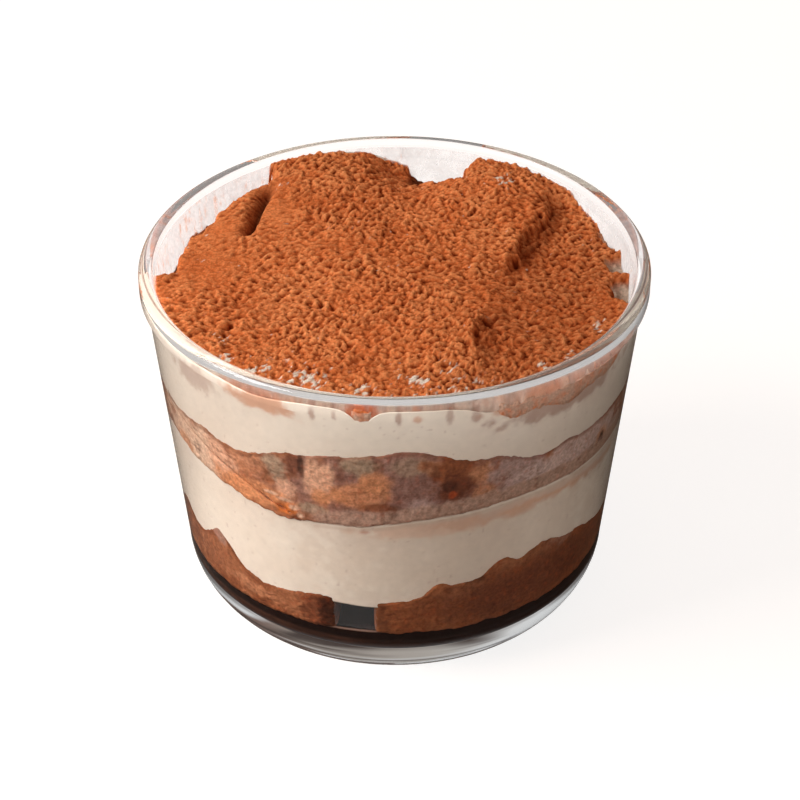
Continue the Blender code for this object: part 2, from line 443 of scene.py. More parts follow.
@dataclass(frozen=True)
class GlassFinish:
    """Clear soda glass, which lets light through to what it holds."""

    name: str
    roughness: float
    index: float = 1.5

    def make(self) -> bpy.types.Material:
        """Builds the material: refracting, and clear to the light that casts shadows."""
        board = MaterialBoard(self.name)
        glass = board.add("BsdfPrincipled")
        board.put(glass.inputs["Base Color"], (1.0, 1.0, 1.0, 1.0))
        board.put(glass.inputs["Roughness"], self.roughness)
        board.put(glass.inputs["IOR"], self.index)
        board.put(glass.inputs["Transmission Weight"], 1.0)
        clear = board.add("BsdfTransparent").outputs["BSDF"]
        shadow = board.add("LightPath").outputs["Is Shadow Ray"]
        return board.finish(board.mixed(shadow, glass.outputs["BSDF"], clear))


@dataclass(frozen=True)
class FilmFinish:
    """A thin greasy film that light shines through, as dense as it is painted."""

    name: str
    streak_scale: float
    through: float = 0.5

    def make(self) -> bpy.types.Material:
        """Builds the material, with the film's density in the painted colour's alpha."""
        board = MaterialBoard(self.name)
        tint = board.add("VertexColor", layer_name="tint")
        streaks = board.noise(self.streak_scale, 4.0)
        colour = board.times(tint.outputs["Color"], board.grey(streaks, 0.9, 1.05))
        lit = board.add("BsdfDiffuse")
        shining = board.add("BsdfTranslucent")
        board.put(lit.inputs["Color"], colour)
        board.put(shining.inputs["Color"], colour)
        film = board.mixed(self.through, lit.outputs["BSDF"], shining.outputs["BSDF"])
        clear = board.add("BsdfTransparent").outputs["BSDF"]
        density = board.reckon("MULTIPLY", tint.outputs["Alpha"], board.grey(streaks, 0.6, 1.3))
        return board.finish(board.mixed(density, clear, film))


@dataclass(frozen=True)
class GlowingBaseFinish:
    """The glass's underside, ground dull, under a painted glow that stands in for the reflections and
    colours seen through the heel; it glows as brightly as it is painted.
    """

    name: str
    roughness: float

    def make(self) -> bpy.types.Material:
        """Builds the material, with the painted glow's share in the painted colour's alpha."""
        board = MaterialBoard(self.name)
        tint = board.add("VertexColor", layer_name="tint")
        glass = board.add("BsdfPrincipled")
        board.put(glass.inputs["Roughness"], self.roughness)
        board.put(glass.inputs["Transmission Weight"], 1.0)
        path = board.add("LightPath")
        seen = board.reckon("SUBTRACT", 1.0, path.outputs["Diffuse Depth"])
        glint = board.add("Emission")
        board.put(glint.inputs["Color"], tint.outputs["Color"])
        board.put(glint.inputs["Strength"], seen)
        shares = tint.outputs["Alpha"], glass.outputs["BSDF"], glint.outputs["Emission"]
        return board.finish(board.mixed(*shares))


@dataclass(frozen=True)
class StageFinish:
    """The plain pale floor, which glows a little so that its shadows stay faint.

    mirrored is how bright its own colour is in reflections, and piped is how much of the
    glow is lost in reflections inside the glass; reflections off the glass show none.
    """

    name: str
    colour: Colour
    glow: float
    mirrored: float
    piped: float

    def make(self) -> bpy.types.Material:
        """Builds the material; its glow is seen, but lights nothing, and it mirrors dull."""
        board = MaterialBoard(self.name)
        path = board.add("LightPath")
        shader = board.add("BsdfDiffuse")
        tone = board.times((*self.colour, 1.0), board.grey(board.noise(40.0), 0.98, 1.0))
        dull = (self.mirrored, self.mirrored, self.mirrored, 1.0)
        colour = board.blended(path.outputs["Glossy Depth"], tone, dull, "MULTIPLY")
        board.put(shader.inputs["Color"], colour)
        light = board.add("Emission")
        board.put(light.inputs["Strength"], self.seen_glow(board, path))
        total = board.add("AddShader")
        board.put(total.inputs[0], shader.outputs["BSDF"])
        board.put(total.inputs[1], light.outputs["Emission"])
        return board.finish(total.outputs["Shader"])

    def seen_glow(self, board: NodeBoard, path: bpy.types.Node) -> Socket:
        """The glow as each ray sees it, from the bounces that the ray has made."""
        inside = board.mapped(path.outputs["Transmission Depth"], 1.0, self.piped)
        mirrored = board.reckon("MULTIPLY", path.outputs["Glossy Depth"], inside)
        lost = board.reckon("ADD", path.outputs["Diffuse Depth"], mirrored)
        return board.mapped(lost, self.glow, 0.0)


GLASS = GlassFinish("clear_glass", 0.0)
# the underside's finish: dull glass under a painted glow in place of reflections
GROUND_GLOWING_BASE = GlowingBaseFinish("ground_glowing_base", 0.45)
COCOA = FoodFinish("cocoa_powder", 0.95, 0.05, 2600.0, 0.64, 1.3, 4600.0, 0.0002)
CREAM = FoodFinish("mascarpone_cream", 0.6, 0.04, 700.0, 0.95, 1.03, 900.0, 0.00004)
SPONGE = FoodFinish("soaked_sponge", 0.85, 0.04, 1500.0, 0.78, 1.2, 2600.0, 0.00012, 2100.0, 0.9)
COFFEE = FoodFinish("coffee", 0.3, 0.02, 300.0, 0.9, 1.1, 500.0, 0.00002)
WET_COFFEE = FoodFinish("wet_coffee", 0.1, 0.12, 300.0, 0.9, 1.1, 300.0, 0.00001)
FILM = FilmFinish("greasy_film", 900.0)
FLOOR = StageFinish("pale_floor", (0.38, 0.33, 0.29), 0.84, 0.3, 0.4)


class Tone(Enum):
    """The food colours, with tones for painted light and shade, as linear light."""

    CREAM = linear(241, 226, 208)
    CREAM_SHADE = linear(214, 188, 166)
    LEDGE_FILM = linear(190, 152, 130)
    DUST_FILM = linear(196, 156, 132)
    COCOA = linear(216, 113, 59)
    COCOA_DEEP_AND_SHADE = linear(120, 44, 13)
    COCOA_PALE_AND_LIT = linear(240, 152, 94)
    COCOA_IN_SHADE = linear(62, 20, 7)
    SPONGE = linear(168, 106, 72)
    SPONGE_PEACH = linear(230, 190, 160)
    SPONGE_GOLD = linear(220, 146, 98)
    SPONGE_PALE = linear(230, 174, 140)
    SPONGE_LUMP = linear(204, 136, 96)
    SPONGE_BROWN = linear(140, 78, 46)
    SPONGE_SOAKED = linear(116, 62, 39)
    SPONGE_FILM = linear(172, 132, 114)
    SPONGE_DUSK = linear(152, 110, 96)
    SPONGE_OLIVE = linear(170, 142, 116)
    SPONGE_MAUVE = linear(184, 150, 138)
    SPONGE_HAZE = linear(214, 182, 168)
    SPONGE_EMBER = linear(186, 78, 36)
    SPONGE_AMBER = linear(208, 116, 56)
    SHADE_PIT = linear(52, 24, 14)
    COFFEE = linear(30, 13, 9)
    REFRACTED_SPONGE_BROWN = linear(104, 66, 50)
    FILM = linear(226, 219, 216)
    FILM_DUST = linear(214, 138, 92)
    # tones of the underside's painted glow: painted reflections, refracted colours and painted shade
    BASE_PAINTED_BROWN = linear(112, 86, 76)
    BASE_PAINTED_SILVER = linear(168, 160, 152)
    BASE_PAINTED_WHITE = linear(232, 234, 235)
    BASE_PAINTED_DARK = linear(74, 64, 60)

    @property
    def light(self) -> np.ndarray:
        """The colour as an array."""
        return np.array(self.value)

    def over(self, points: np.ndarray) -> np.ndarray:
        """The colour once for each point."""
        return np.tile(self.light, (len(points), 1))


def blend(base: np.ndarray, tone: Tone, share: np.ndarray) -> np.ndarray:
    """Colours moved towards a tone by a share of 0 to 1 for each point."""
    share = np.clip(share, 0.0, 1.0)[:, None]
    return base * (1.0 - share) + tone.light * share


@dataclass(frozen=True)
class Stain:
    """A soft patch of another tone on the wall side of a filling."""

    azimuth: float
    height: float
    half_angle: float
    half_height: float
    tone: Tone
    strength: float = 1.0

    def share(self, azimuth: np.ndarray, height: np.ndarray, ragged: np.ndarray) -> np.ndarray:
        """How much of the patch covers each point.

        Args:
            azimuth: Each point's azimuth.
            height: Each point's height.
            ragged: Random relief that breaks up the patch's edge.

        Returns:
            A share of 0 to 1 for each point.
        """
        away = np.hypot(
            turn_between(azimuth, self.azimuth) / self.half_angle,
            (height - self.height) / self.half_height,
        )
        return self.strength * step(1.0 - away + 0.5 * ragged, 0.2)


@dataclass(frozen=True)
class Band:
    """A strip of another tone that follows a layer's edge along the wall.

    low and high bound it over the edge, and start and end bound it round the wall.
    """

    edge: "Edge"
    low: float
    high: float
    start: float
    end: float
    tone: Tone
    strength: float = 1.0
    softness: float = 0.12
    wander: float = 0.15

    def share(self, azimuth: np.ndarray, height: np.ndarray, ragged: np.ndarray) -> np.ndarray:
        """How much of the strip covers each point, as for a stain."""
        over = height - self.edge.base - self.edge.line(azimuth) + self.wander * ragged
        along = step(azimuth - self.start, 2.0) * step(self.end - azimuth, 2.0)
        across = step(over - self.low, self.softness) * step(self.high - over, self.softness)
        return self.strength * along * across


def stained(
    tint: np.ndarray,
    stains: Sequence[Stain | Band],
    azimuth: np.ndarray,
    height: np.ndarray,
    ragged: np.ndarray,
) -> np.ndarray:
    """Lays stains over colours, one after another.

    Args:
        tint: The points' colours.
        stains: The stains and bands.
        azimuth: Each point's azimuth.
        height: Each point's height.
        ragged: Random relief that breaks up the stains' edges.

    Returns:
        The stained colours.
    """
    for stain in stains:
        tint = blend(tint, stain.tone, stain.share(azimuth, height, ragged))
    return tint


# ---------------------------------------------------------------- the glass


@dataclass(frozen=True)
class Tumbler:
    """The glass: a straight cone with a thicker rim band and a rounded heel."""

    height: float
    rim_radius: float
    band_height: float = 4.2
    band_proud: float = 0.6
    lip_radius: float = 1.25
    foot_radius: float = 36.5
    wall: float = 2.0
    heel_radius: float = 11.0
    floor_height: float = 6.2
    floor_corner: float = 9.0
    punt_radius: float = 22.0
    punt_depth: float = 0.8
    rest_inner_radius: float = 23.6
    segments: int = 256
    arc_steps: int = 14
    glint_step: float = 0.5
    glint_width: float = 2.6
    glint_turn: float = 40.0
    glint_share: float = 0.92
    dark_ring: float = 11.0
    dark_ring_width: float = 1.3
    shade_radius: float = 19.6

    @property
    def slope(self) -> float:
        """The wall's lean outwards for each millimetre of height."""
        return (self.rim_radius - self.band_proud - self.foot_radius) / self.height

    def outer(self, height: np.ndarray | float) -> np.ndarray | float:
        """The straight wall's outer radius."""
        return self.foot_radius + self.slope * height

    def inner(self, height: np.ndarray | float) -> np.ndarray:
        """The cavity's radius, with its rounded corner above the floor."""
        corner_top = self.floor_height + self.floor_corner
        wall = self.outer(height) - self.wall
        above = np.clip(corner_top - np.asarray(height, dtype=float), 0.0, self.floor_corner)
        centre = self.outer(corner_top) - self.wall - self.floor_corner
        rounded = centre + np.sqrt(self.floor_corner**2 - above**2)
        return np.where(above > 0.0, rounded, wall)

    def arc(
        self, centre: tuple[float, float], radius: float, start: float, end: float
    ) -> list[tuple[float, float]]:
        """Points on a round part of the section.

        Args:
            centre: The round's centre, as radius and height.
            radius: The round's own radius.
            start: The first angle in degrees.
            end: The last angle in degrees.

        Returns:
            The points, as radius and height.
        """
        angles = np.radians(np.linspace(start, end, self.arc_steps + 1))
        return [
            (centre[0] + radius * math.cos(a), centre[1] + radius * math.sin(a)) for a in angles
        ]

    def glint_radii(self) -> np.ndarray:
        """The radii of the rings across the punt."""
        return np.arange(self.glint_step, self.punt_radius + 0.01, self.glint_step)

    def glints(self, points: np.ndarray) -> np.ndarray:
        """The painted glow on the underside, which shows through the heel as painted reflections,
        glints and shade.

        Args:
            points: The glass's points.

        Returns:
            A colour for each point, with the painted glow's share as its alpha.
        """
        radius = radius_of(points)
        azimuth = azimuth_of(points[:, 0], points[:, 1])
        rings = np.stack([radius, azimuth / self.glint_turn, np.zeros_like(radius)], axis=1)
        streaks = Relief(91).rough(rings, self.glint_width, 3)
        # painted light: white on the right, brown on the left for the sponge seen through the heel,
        # dark and white streaks, a dark ring, and painted shade towards the edge
        right = step(azimuth - 42.0, 22.0) * step(150.0 - azimuth, 12.0)
        left = step(-52.0 - azimuth, 12.0)
        ring = np.exp(-(((radius - self.dark_ring) / self.dark_ring_width) ** 2))
        tint = Tone.BASE_PAINTED_SILVER.over(points)
        tint = blend(tint, Tone.BASE_PAINTED_WHITE, right)
        tint = blend(tint, Tone.BASE_PAINTED_BROWN, 0.9 * left)
        tint = blend(tint, Tone.BASE_PAINTED_DARK, 3.6 * streaks - 0.3)
        tint = blend(tint, Tone.BASE_PAINTED_WHITE, -3.0 * streaks - 0.5)
        tint = blend(tint, Tone.BASE_PAINTED_DARK, 0.8 * ring)
        tint = blend(tint, Tone.BASE_PAINTED_DARK, 0.8 * step(radius - self.shade_radius, 0.5))
        under = points[:, 2] < self.punt_depth + 0.2
        share = self.glint_share * step(self.punt_radius - 0.6 - radius, 0.3) * under
        return np.column_stack([tint, share])

    def profile(self) -> list[tuple[float, float]]:
        """The section from under the floor, round the rim and down to the floor."""
        band_foot = self.height - self.band_height
        shoulder = self.band_proud * 0.5
        corner_top = self.floor_height + self.floor_corner
        corner = (self.outer(corner_top) - self.wall - self.floor_corner, corner_top)
        heel = (self.outer(self.heel_radius) - self.heel_radius, self.heel_radius)
        lip = (self.rim_radius - self.lip_radius, self.height - self.lip_radius)
        return (
            [(0.0, self.punt_depth)]
            + [(float(r), self.punt_depth) for r in self.glint_radii()]
            + [(self.rest_inner_radius, 0.0)]
            + self.arc(heel, self.heel_radius, -90, 0)
            + [(self.outer(band_foot) - 0.02, band_foot - 0.15)]
            + [(self.outer(band_foot) + shoulder, band_foot + 0.12)]
            + [(self.rim_radius, band_foot + self.band_proud)]
            + self.arc(lip, self.lip_radius, 0, 180)
            + [(float(self.inner(band_foot)), band_foot)]
            + self.arc(corner, self.floor_corner, 0, -90)
            + [(0.0, self.floor_height)]
        )

    def ground_face(self, centres: np.ndarray) -> np.ndarray:
        """Which faces, by their centres, lie on the ground punt."""
        flat = np.abs(centres[:, 2] - self.punt_depth) < 0.05
        return flat & (radius_of(centres) < self.punt_radius)

    def build(self, finish: bpy.types.Material, ground: bpy.types.Material) -> bpy.types.Object:
        """Turns the section about the axis and dresses it.

        Args:
            finish: The clear material.
            ground: The material of the underside, where the glass is ground and carries a painted
                glow.

        Returns:
            The glass.
        """
        points, faces = turned_body(self.profile(), self.segments)
        piece = mesh_object("glass_body", points, faces, finish, self.glints(points))
        refinish(piece, ground, self.ground_face)
        return dress(piece, "glass", "glass")


# ---------------------------------------------------------------- the fillings


@dataclass(frozen=True)
class Swell:
    """A rise, or with a minus sign a dip, in a layer's edge along the wall."""

    azimuth: float
    rise: float
    width: float


@dataclass(frozen=True)
class Edge:
    """A layer's face, known by the line that it draws along the wall."""

    base: float
    swells: tuple[Swell, ...]

    def line(self, azimuth: np.ndarray) -> np.ndarray:
        """The line's height above the base at each azimuth."""
        total = np.zeros_like(azimuth)
        for swell in self.swells:
            away = turn_between(azimuth, swell.azimuth) / swell.width
            total += swell.rise * np.exp(-(away**2))
        return total

    def field(self, vessel: Tumbler, raised: float = 0.0) -> Field:
        """The face as a height over the plan, level at the axis.

        Args:
            vessel: The glass that the layer lies in.
            raised: How far the face is lifted.

        Returns:
            A function from x and y to the height.
        """
        reach = float(vessel.inner(self.base))

        def height(x: np.ndarray, y: np.ndarray) -> np.ndarray:
            """The face's height at each point."""
            share = np.minimum(np.hypot(x, y) / reach, 1.0)
            return self.base + raised + self.line(azimuth_of(x, y)) * share**2

        return height


LOW_TOP = Edge(
    20.9,
    (
        Swell(-71, 2.8, 5),
        Swell(-51, 4.6, 6),
        Swell(-35, -2.2, 12),
        Swell(-6, -0.8, 10),
        Swell(11, 2.6, 4),
        Swell(19, 2.4, 6),
        Swell(27.5, 4.4, 4.5),
        Swell(40, 5.8, 10),
        Swell(55, 2.6, 8),
        Swell(100, -1.5, 18),
        Swell(140, 2.6, 14),
        Swell(180, -1.2, 12),
        Swell(-140, 2.2, 16),
        Swell(-100, 1.0, 12),
    ),
)
MID_UNDER = Edge(
    38.7,
    (
        Swell(-67, 1.2, 8),
        Swell(-29, -2.5, 15),
        Swell(-8, -1.2, 10),
        Swell(32, 1.0, 18),
        Swell(105, -1.2, 20),
        Swell(150, 1.2, 18),
        Swell(-150, -1.4, 20),
        Swell(-105, 0.8, 14),
    ),
)
MID_TOP = Edge(
    47.1,
    (
        Swell(-52, 0.9, 6),
        Swell(-28, 1.4, 8),
        Swell(-13, 4.6, 15),
        Swell(6, 5.6, 12),
        Swell(24, 2.6, 8),
        Swell(44, 0.9, 4),
        Swell(95, -1.0, 14),
        Swell(140, 1.8, 16),
        Swell(176, 5.2, 18),
        Swell(-140, 1.6, 14),
        Swell(-95, 0.6, 12),
    ),
)


@dataclass(frozen=True)
class Filling:
    """A layer that reaches the wall all round, between two faces."""

    name: str
    slot: str
    vessel: Tumbler
    under: Field
    over: Field
    start: float
    bite: float
    around: int = 840
    cap_rings: int = 7
    wall_step: float = 0.3
    ripple: float = 0.06
    ripple_size: float = 5.0

    def wall_line(self, face: Field, azimuth: np.ndarray) -> tuple[np.ndarray, np.ndarray]:
        """Where a face meets the wall.

        Args:
            face: The face's height over the plan.
            azimuth: The azimuths to find it at, in radians.

        Returns:
            The radius and the height at each azimuth.
        """
        height = np.full_like(azimuth, self.start)
        radius = height
        for _ in range(8):
            radius = self.vessel.inner(height)
            height = face(radius * np.sin(azimuth), -radius * np.cos(azimuth))
        return radius, height

    def points(self) -> tuple[np.ndarray, int]:
        """The layer's points, and how many rings they make."""
        azimuth = np.linspace(0.0, 2.0 * math.pi, self.around, endpoint=False)
        sine, cosine = np.sin(azimuth), -np.cos(azimuth)
        shares = np.linspace(0.0, 1.0, self.cap_rings + 1)[1:-1]
        low_radius, low = self.wall_line(self.under, azimuth)
        high_radius, high = self.wall_line(self.over, azimuth)
        rings = []
        for share in shares:
            x, y = low_radius * share * sine, low_radius * share * cosine
            rings.append(np.stack([x, y, self.under(x, y)], axis=1))
        steps = max(2, int(np.max(high - low) / self.wall_step))
        relief = Relief(11)
        for share in np.linspace(0.0, 1.0, steps + 1):
            height = low + (high - low) * share
            base = np.stack([WALL_REACH * sine, WALL_REACH * cosine, height], axis=1)
            rippled = self.ripple * relief.rough(base, self.ripple_size, 3)
            radius = self.vessel.inner(height) + self.bite + rippled
            rings.append(np.stack([radius * sine, radius * cosine, height], axis=1))
        for share in shares[::-1]:
            x, y = high_radius * share * sine, high_radius * share * cosine
            rings.append(np.stack([x, y, self.over(x, y)], axis=1))
        zero = np.zeros(1)
        first = np.array([[0.0, 0.0, self.under(zero, zero)[0]]])
        last = np.array([[0.0, 0.0, self.over(zero, zero)[0]]])
        return np.concatenate([first, *rings, last]), len(rings)

    def build(
        self, finish: bpy.types.Material, paint: Callable[[np.ndarray], np.ndarray], *nodes: str
    ) -> bpy.types.Object:
        """Builds and dresses the layer.

        Args:
            finish: Its material.
            paint: Gives a colour to each point.
            nodes: The CAD nodes that it stands for.

        Returns:
            The piece.
        """
        points, rings = self.points()
        faces = ring_faces(rings, self.around)
        piece = mesh_object(self.name, points, faces, finish, paint(points))
        return dress(piece, self.slot, *nodes)


@dataclass(frozen=True)
class Plan:
    """A finger's outline in plan, as spokes from its centre."""

    centre: np.ndarray
    spokes: np.ndarray

    def inside(self, share: float, inset: float) -> tuple[np.ndarray, np.ndarray]:
        """The x and y of a ring at a share of the spokes, kept an inset inside the outline."""
        lengths = np.hypot(self.spokes[:, 0], self.spokes[:, 1])[:, None]
        plan = self.centre + self.spokes * share * (1.0 - inset / lengths)
        return plan[:, 0], plan[:, 1]


@dataclass(frozen=True)
class Finger:
    """A sponge finger's strip across the glass.

    heading turns it away from front to back, left and right bound it across, and under
    and over are the faces that it lies between.
    """

    node: str
    heading: float
    left: float
    right: float
    under: Field
    over: Field
    middle: float
    seed: int
    bite: float = 0.4
    edge: float = 0.7
    rounding: int = 40
    wall_spacing: float = 0.26
    inner_spacing: float = 1.6
    relief: float = 0.28
    wall_rings: int = 40
    sweep: int = 4001
    flat_shares: tuple[float, ...] = (0.3, 0.6, 0.85)
    bends: tuple[float, ...] = (0.0, 30.0, 60.0, 90.0)

    def outline(self, wall_radius: float) -> Plan:
        """The strip's outline in plan.

        Args:
            wall_radius: The radius of the wall at the finger's middle.

        Returns:
            The outline, whose points lie closer together along the wall.
        """
        heading = math.radians(self.heading)
        along = np.array([math.sin(heading), math.cos(heading)])
        across = np.array([math.cos(heading), -math.sin(heading)])
        centre = across * (max(self.left, -wall_radius) + min(self.right, wall_radius)) / 2.0
        angles = np.linspace(0.0, 2.0 * math.pi, self.sweep)
        ways = np.stack([np.cos(angles), np.sin(angles)], axis=1)
        inner = ways @ centre
        room = -inner + np.sqrt(inner**2 + wall_radius**2 - centre @ centre)
        nearest = room ** -float(self.rounding)
        for normal, limit in ((across, self.right), (-across, -self.left)):
            slant = ways @ normal
            side = (limit - centre @ normal) / np.maximum(slant, 1e-6)
            nearest += side ** -float(self.rounding)
        dense = centre + ways * (nearest ** (-1.0 / self.rounding))[:, None]
        lengths = np.hypot(*np.diff(dense, axis=0).T)
        at_wall = np.hypot(dense[:-1, 0], dense[:-1, 1]) > wall_radius - 1.2
        weight = np.where(at_wall, 1.0 / self.wall_spacing, 1.0 / self.inner_spacing) * lengths
        passed = np.concatenate([[0.0], np.cumsum(weight)])
        wanted = np.linspace(0.0, passed[-1], int(passed[-1]), endpoint=False)
        picked = np.stack([np.interp(wanted, passed, dense[:, k]) for k in (0, 1)], axis=1)
        return Plan(centre, picked - centre)

    def build(
        self, vessel: Tumbler, finish: bpy.types.Material, paint: Callable[..., np.ndarray]
    ) -> bpy.types.Object:
        """Builds the finger as a pillow with a crumbly side.

        Args:
            vessel: The glass that it is pressed against.
            finish: Its material.
            paint: Gives a colour to each point and its relief.

        Returns:
            The piece.
        """
        plan = self.outline(float(vessel.inner(self.middle)) + self.bite)
        stations = [(share, self.edge, 0.0) for share in self.flat_shares]
        for bend in map(math.radians, self.bends):
            inset, drop = self.edge * (1 - math.sin(bend)), self.edge * (1 - math.cos(bend))
            stations.append((1.0, inset, drop))
        lower = [self.ring(vessel, plan, *station, False) for station in stations]
        upper = [self.ring(vessel, plan, *station, True) for station in reversed(stations)]
        shares = [k / self.wall_rings for k in range(1, self.wall_rings)]
        wall = [lower[-1] * (1.0 - share) + upper[0] * share for share in shares]
        rings = lower + wall + upper
        middle = plan.centre[None, :]
        first = np.column_stack([middle, self.under(middle[:, 0], middle[:, 1])])
        last = np.column_stack([middle, self.over(middle[:, 0], middle[:, 1])])
        points, crumb = self.crumbled(np.concatenate([first, *rings, last]))
        faces = ring_faces(len(rings), len(plan.spokes))
        piece = mesh_object(self.node + "_sponge", points, faces, finish, paint(points, crumb))
        return dress(piece, "sponge", self.node)

    def ring(
        self, vessel: Tumbler, plan: Plan, share: float, inset: float, drop: float, on_top: bool
    ) -> np.ndarray:
        """One ring of the pillow.

        Args:
            vessel: The glass.
            plan: The finger's outline.
            share: How far out along the spokes the ring lies.
            inset: How far the ring stays inside the outline.
            drop: How far it lies from the face, towards the middle.
            on_top: Whether it belongs to the upper face.

        Returns:
            The ring's points.
        """
        x, y = plan.inside(share, inset)
        height = self.over(x, y) - drop if on_top else self.under(x, y) + drop
        scale = (vessel.inner(height) + self.bite) / (float(vessel.inner(self.middle)) + self.bite)
        return np.stack([x * scale, y * scale, height], axis=1)

    def crumbled(self, points: np.ndarray) -> tuple[np.ndarray, np.ndarray]:
        """Roughens the points in and out of the wall, and up and down.

        Args:
            points: The smooth points.

        Returns:
            The rough points, and the relief of each from -1 to 1.
        """
        coarse = Relief(self.seed)
        fine = Relief(self.seed + 1)
        crumb = 0.6 * coarse.rough(points, 3.2, 3) + 0.6 * (fine.puffs(points, 1.1) - 0.5)
        outward = points[:, :2] / np.maximum(radius_of(points), 1e-6)[:, None]
        moved = points.copy()
        moved[:, :2] += outward * (self.relief * np.clip(crumb, -1.0, 1.0))[:, None]
        moved[:, 2] += 0.35 * coarse.rough(points + 31.0, 1.6, 3)
        return moved, crumb


# ---------------------------------------------------------------- the cocoa


@dataclass(frozen=True)
class Mound:
    """A round heap, or with a minus sign a hollow, centred on x and y."""

    x: float
    y: float
    rise: float
    reach: float

    def share(self, x: np.ndarray, y: np.ndarray) -> np.ndarray:
        """How much of the mound's rise each point has."""
        return np.exp(-(((x - self.x) ** 2 + (y - self.y) ** 2) / self.reach**2))


@dataclass(frozen=True)
class Pocket:
    """A place where the cocoa stops short of the wall and falls away to a bowl's floor."""

    azimuth: float
    half_angle: float
    edge_radius: float
    floor: float
    bowl: float = 2.4
    side_raggedness: float = 1.3
    edge_raggedness: float = 0.9

    def cut(
        self, radius: np.ndarray, azimuth: np.ndarray, height: np.ndarray, ragged: np.ndarray
    ) -> np.ndarray:
        """How far the pocket lowers each point.

        Args:
            radius: Each point's distance from the axis.
            azimuth: Each point's azimuth.
            height: The heap's height at each point.
            ragged: Random relief that breaks up the pocket's edge.

        Returns:
            The change of height, which is never positive.
        """
        turn = np.abs(turn_between(azimuth, self.azimuth))
        aside = np.radians(self.half_angle - turn) * radius + self.side_raggedness * ragged
        outwards = radius - self.edge_radius + self.edge_raggedness * ragged
        floor = self.floor + self.bowl * np.clip(turn / self.half_angle, 0.0, 1.0) ** 2
        inside = step(aside, 0.45) * step(outwards, 0.35)
        return (np.minimum(floor, height) - height) * inside


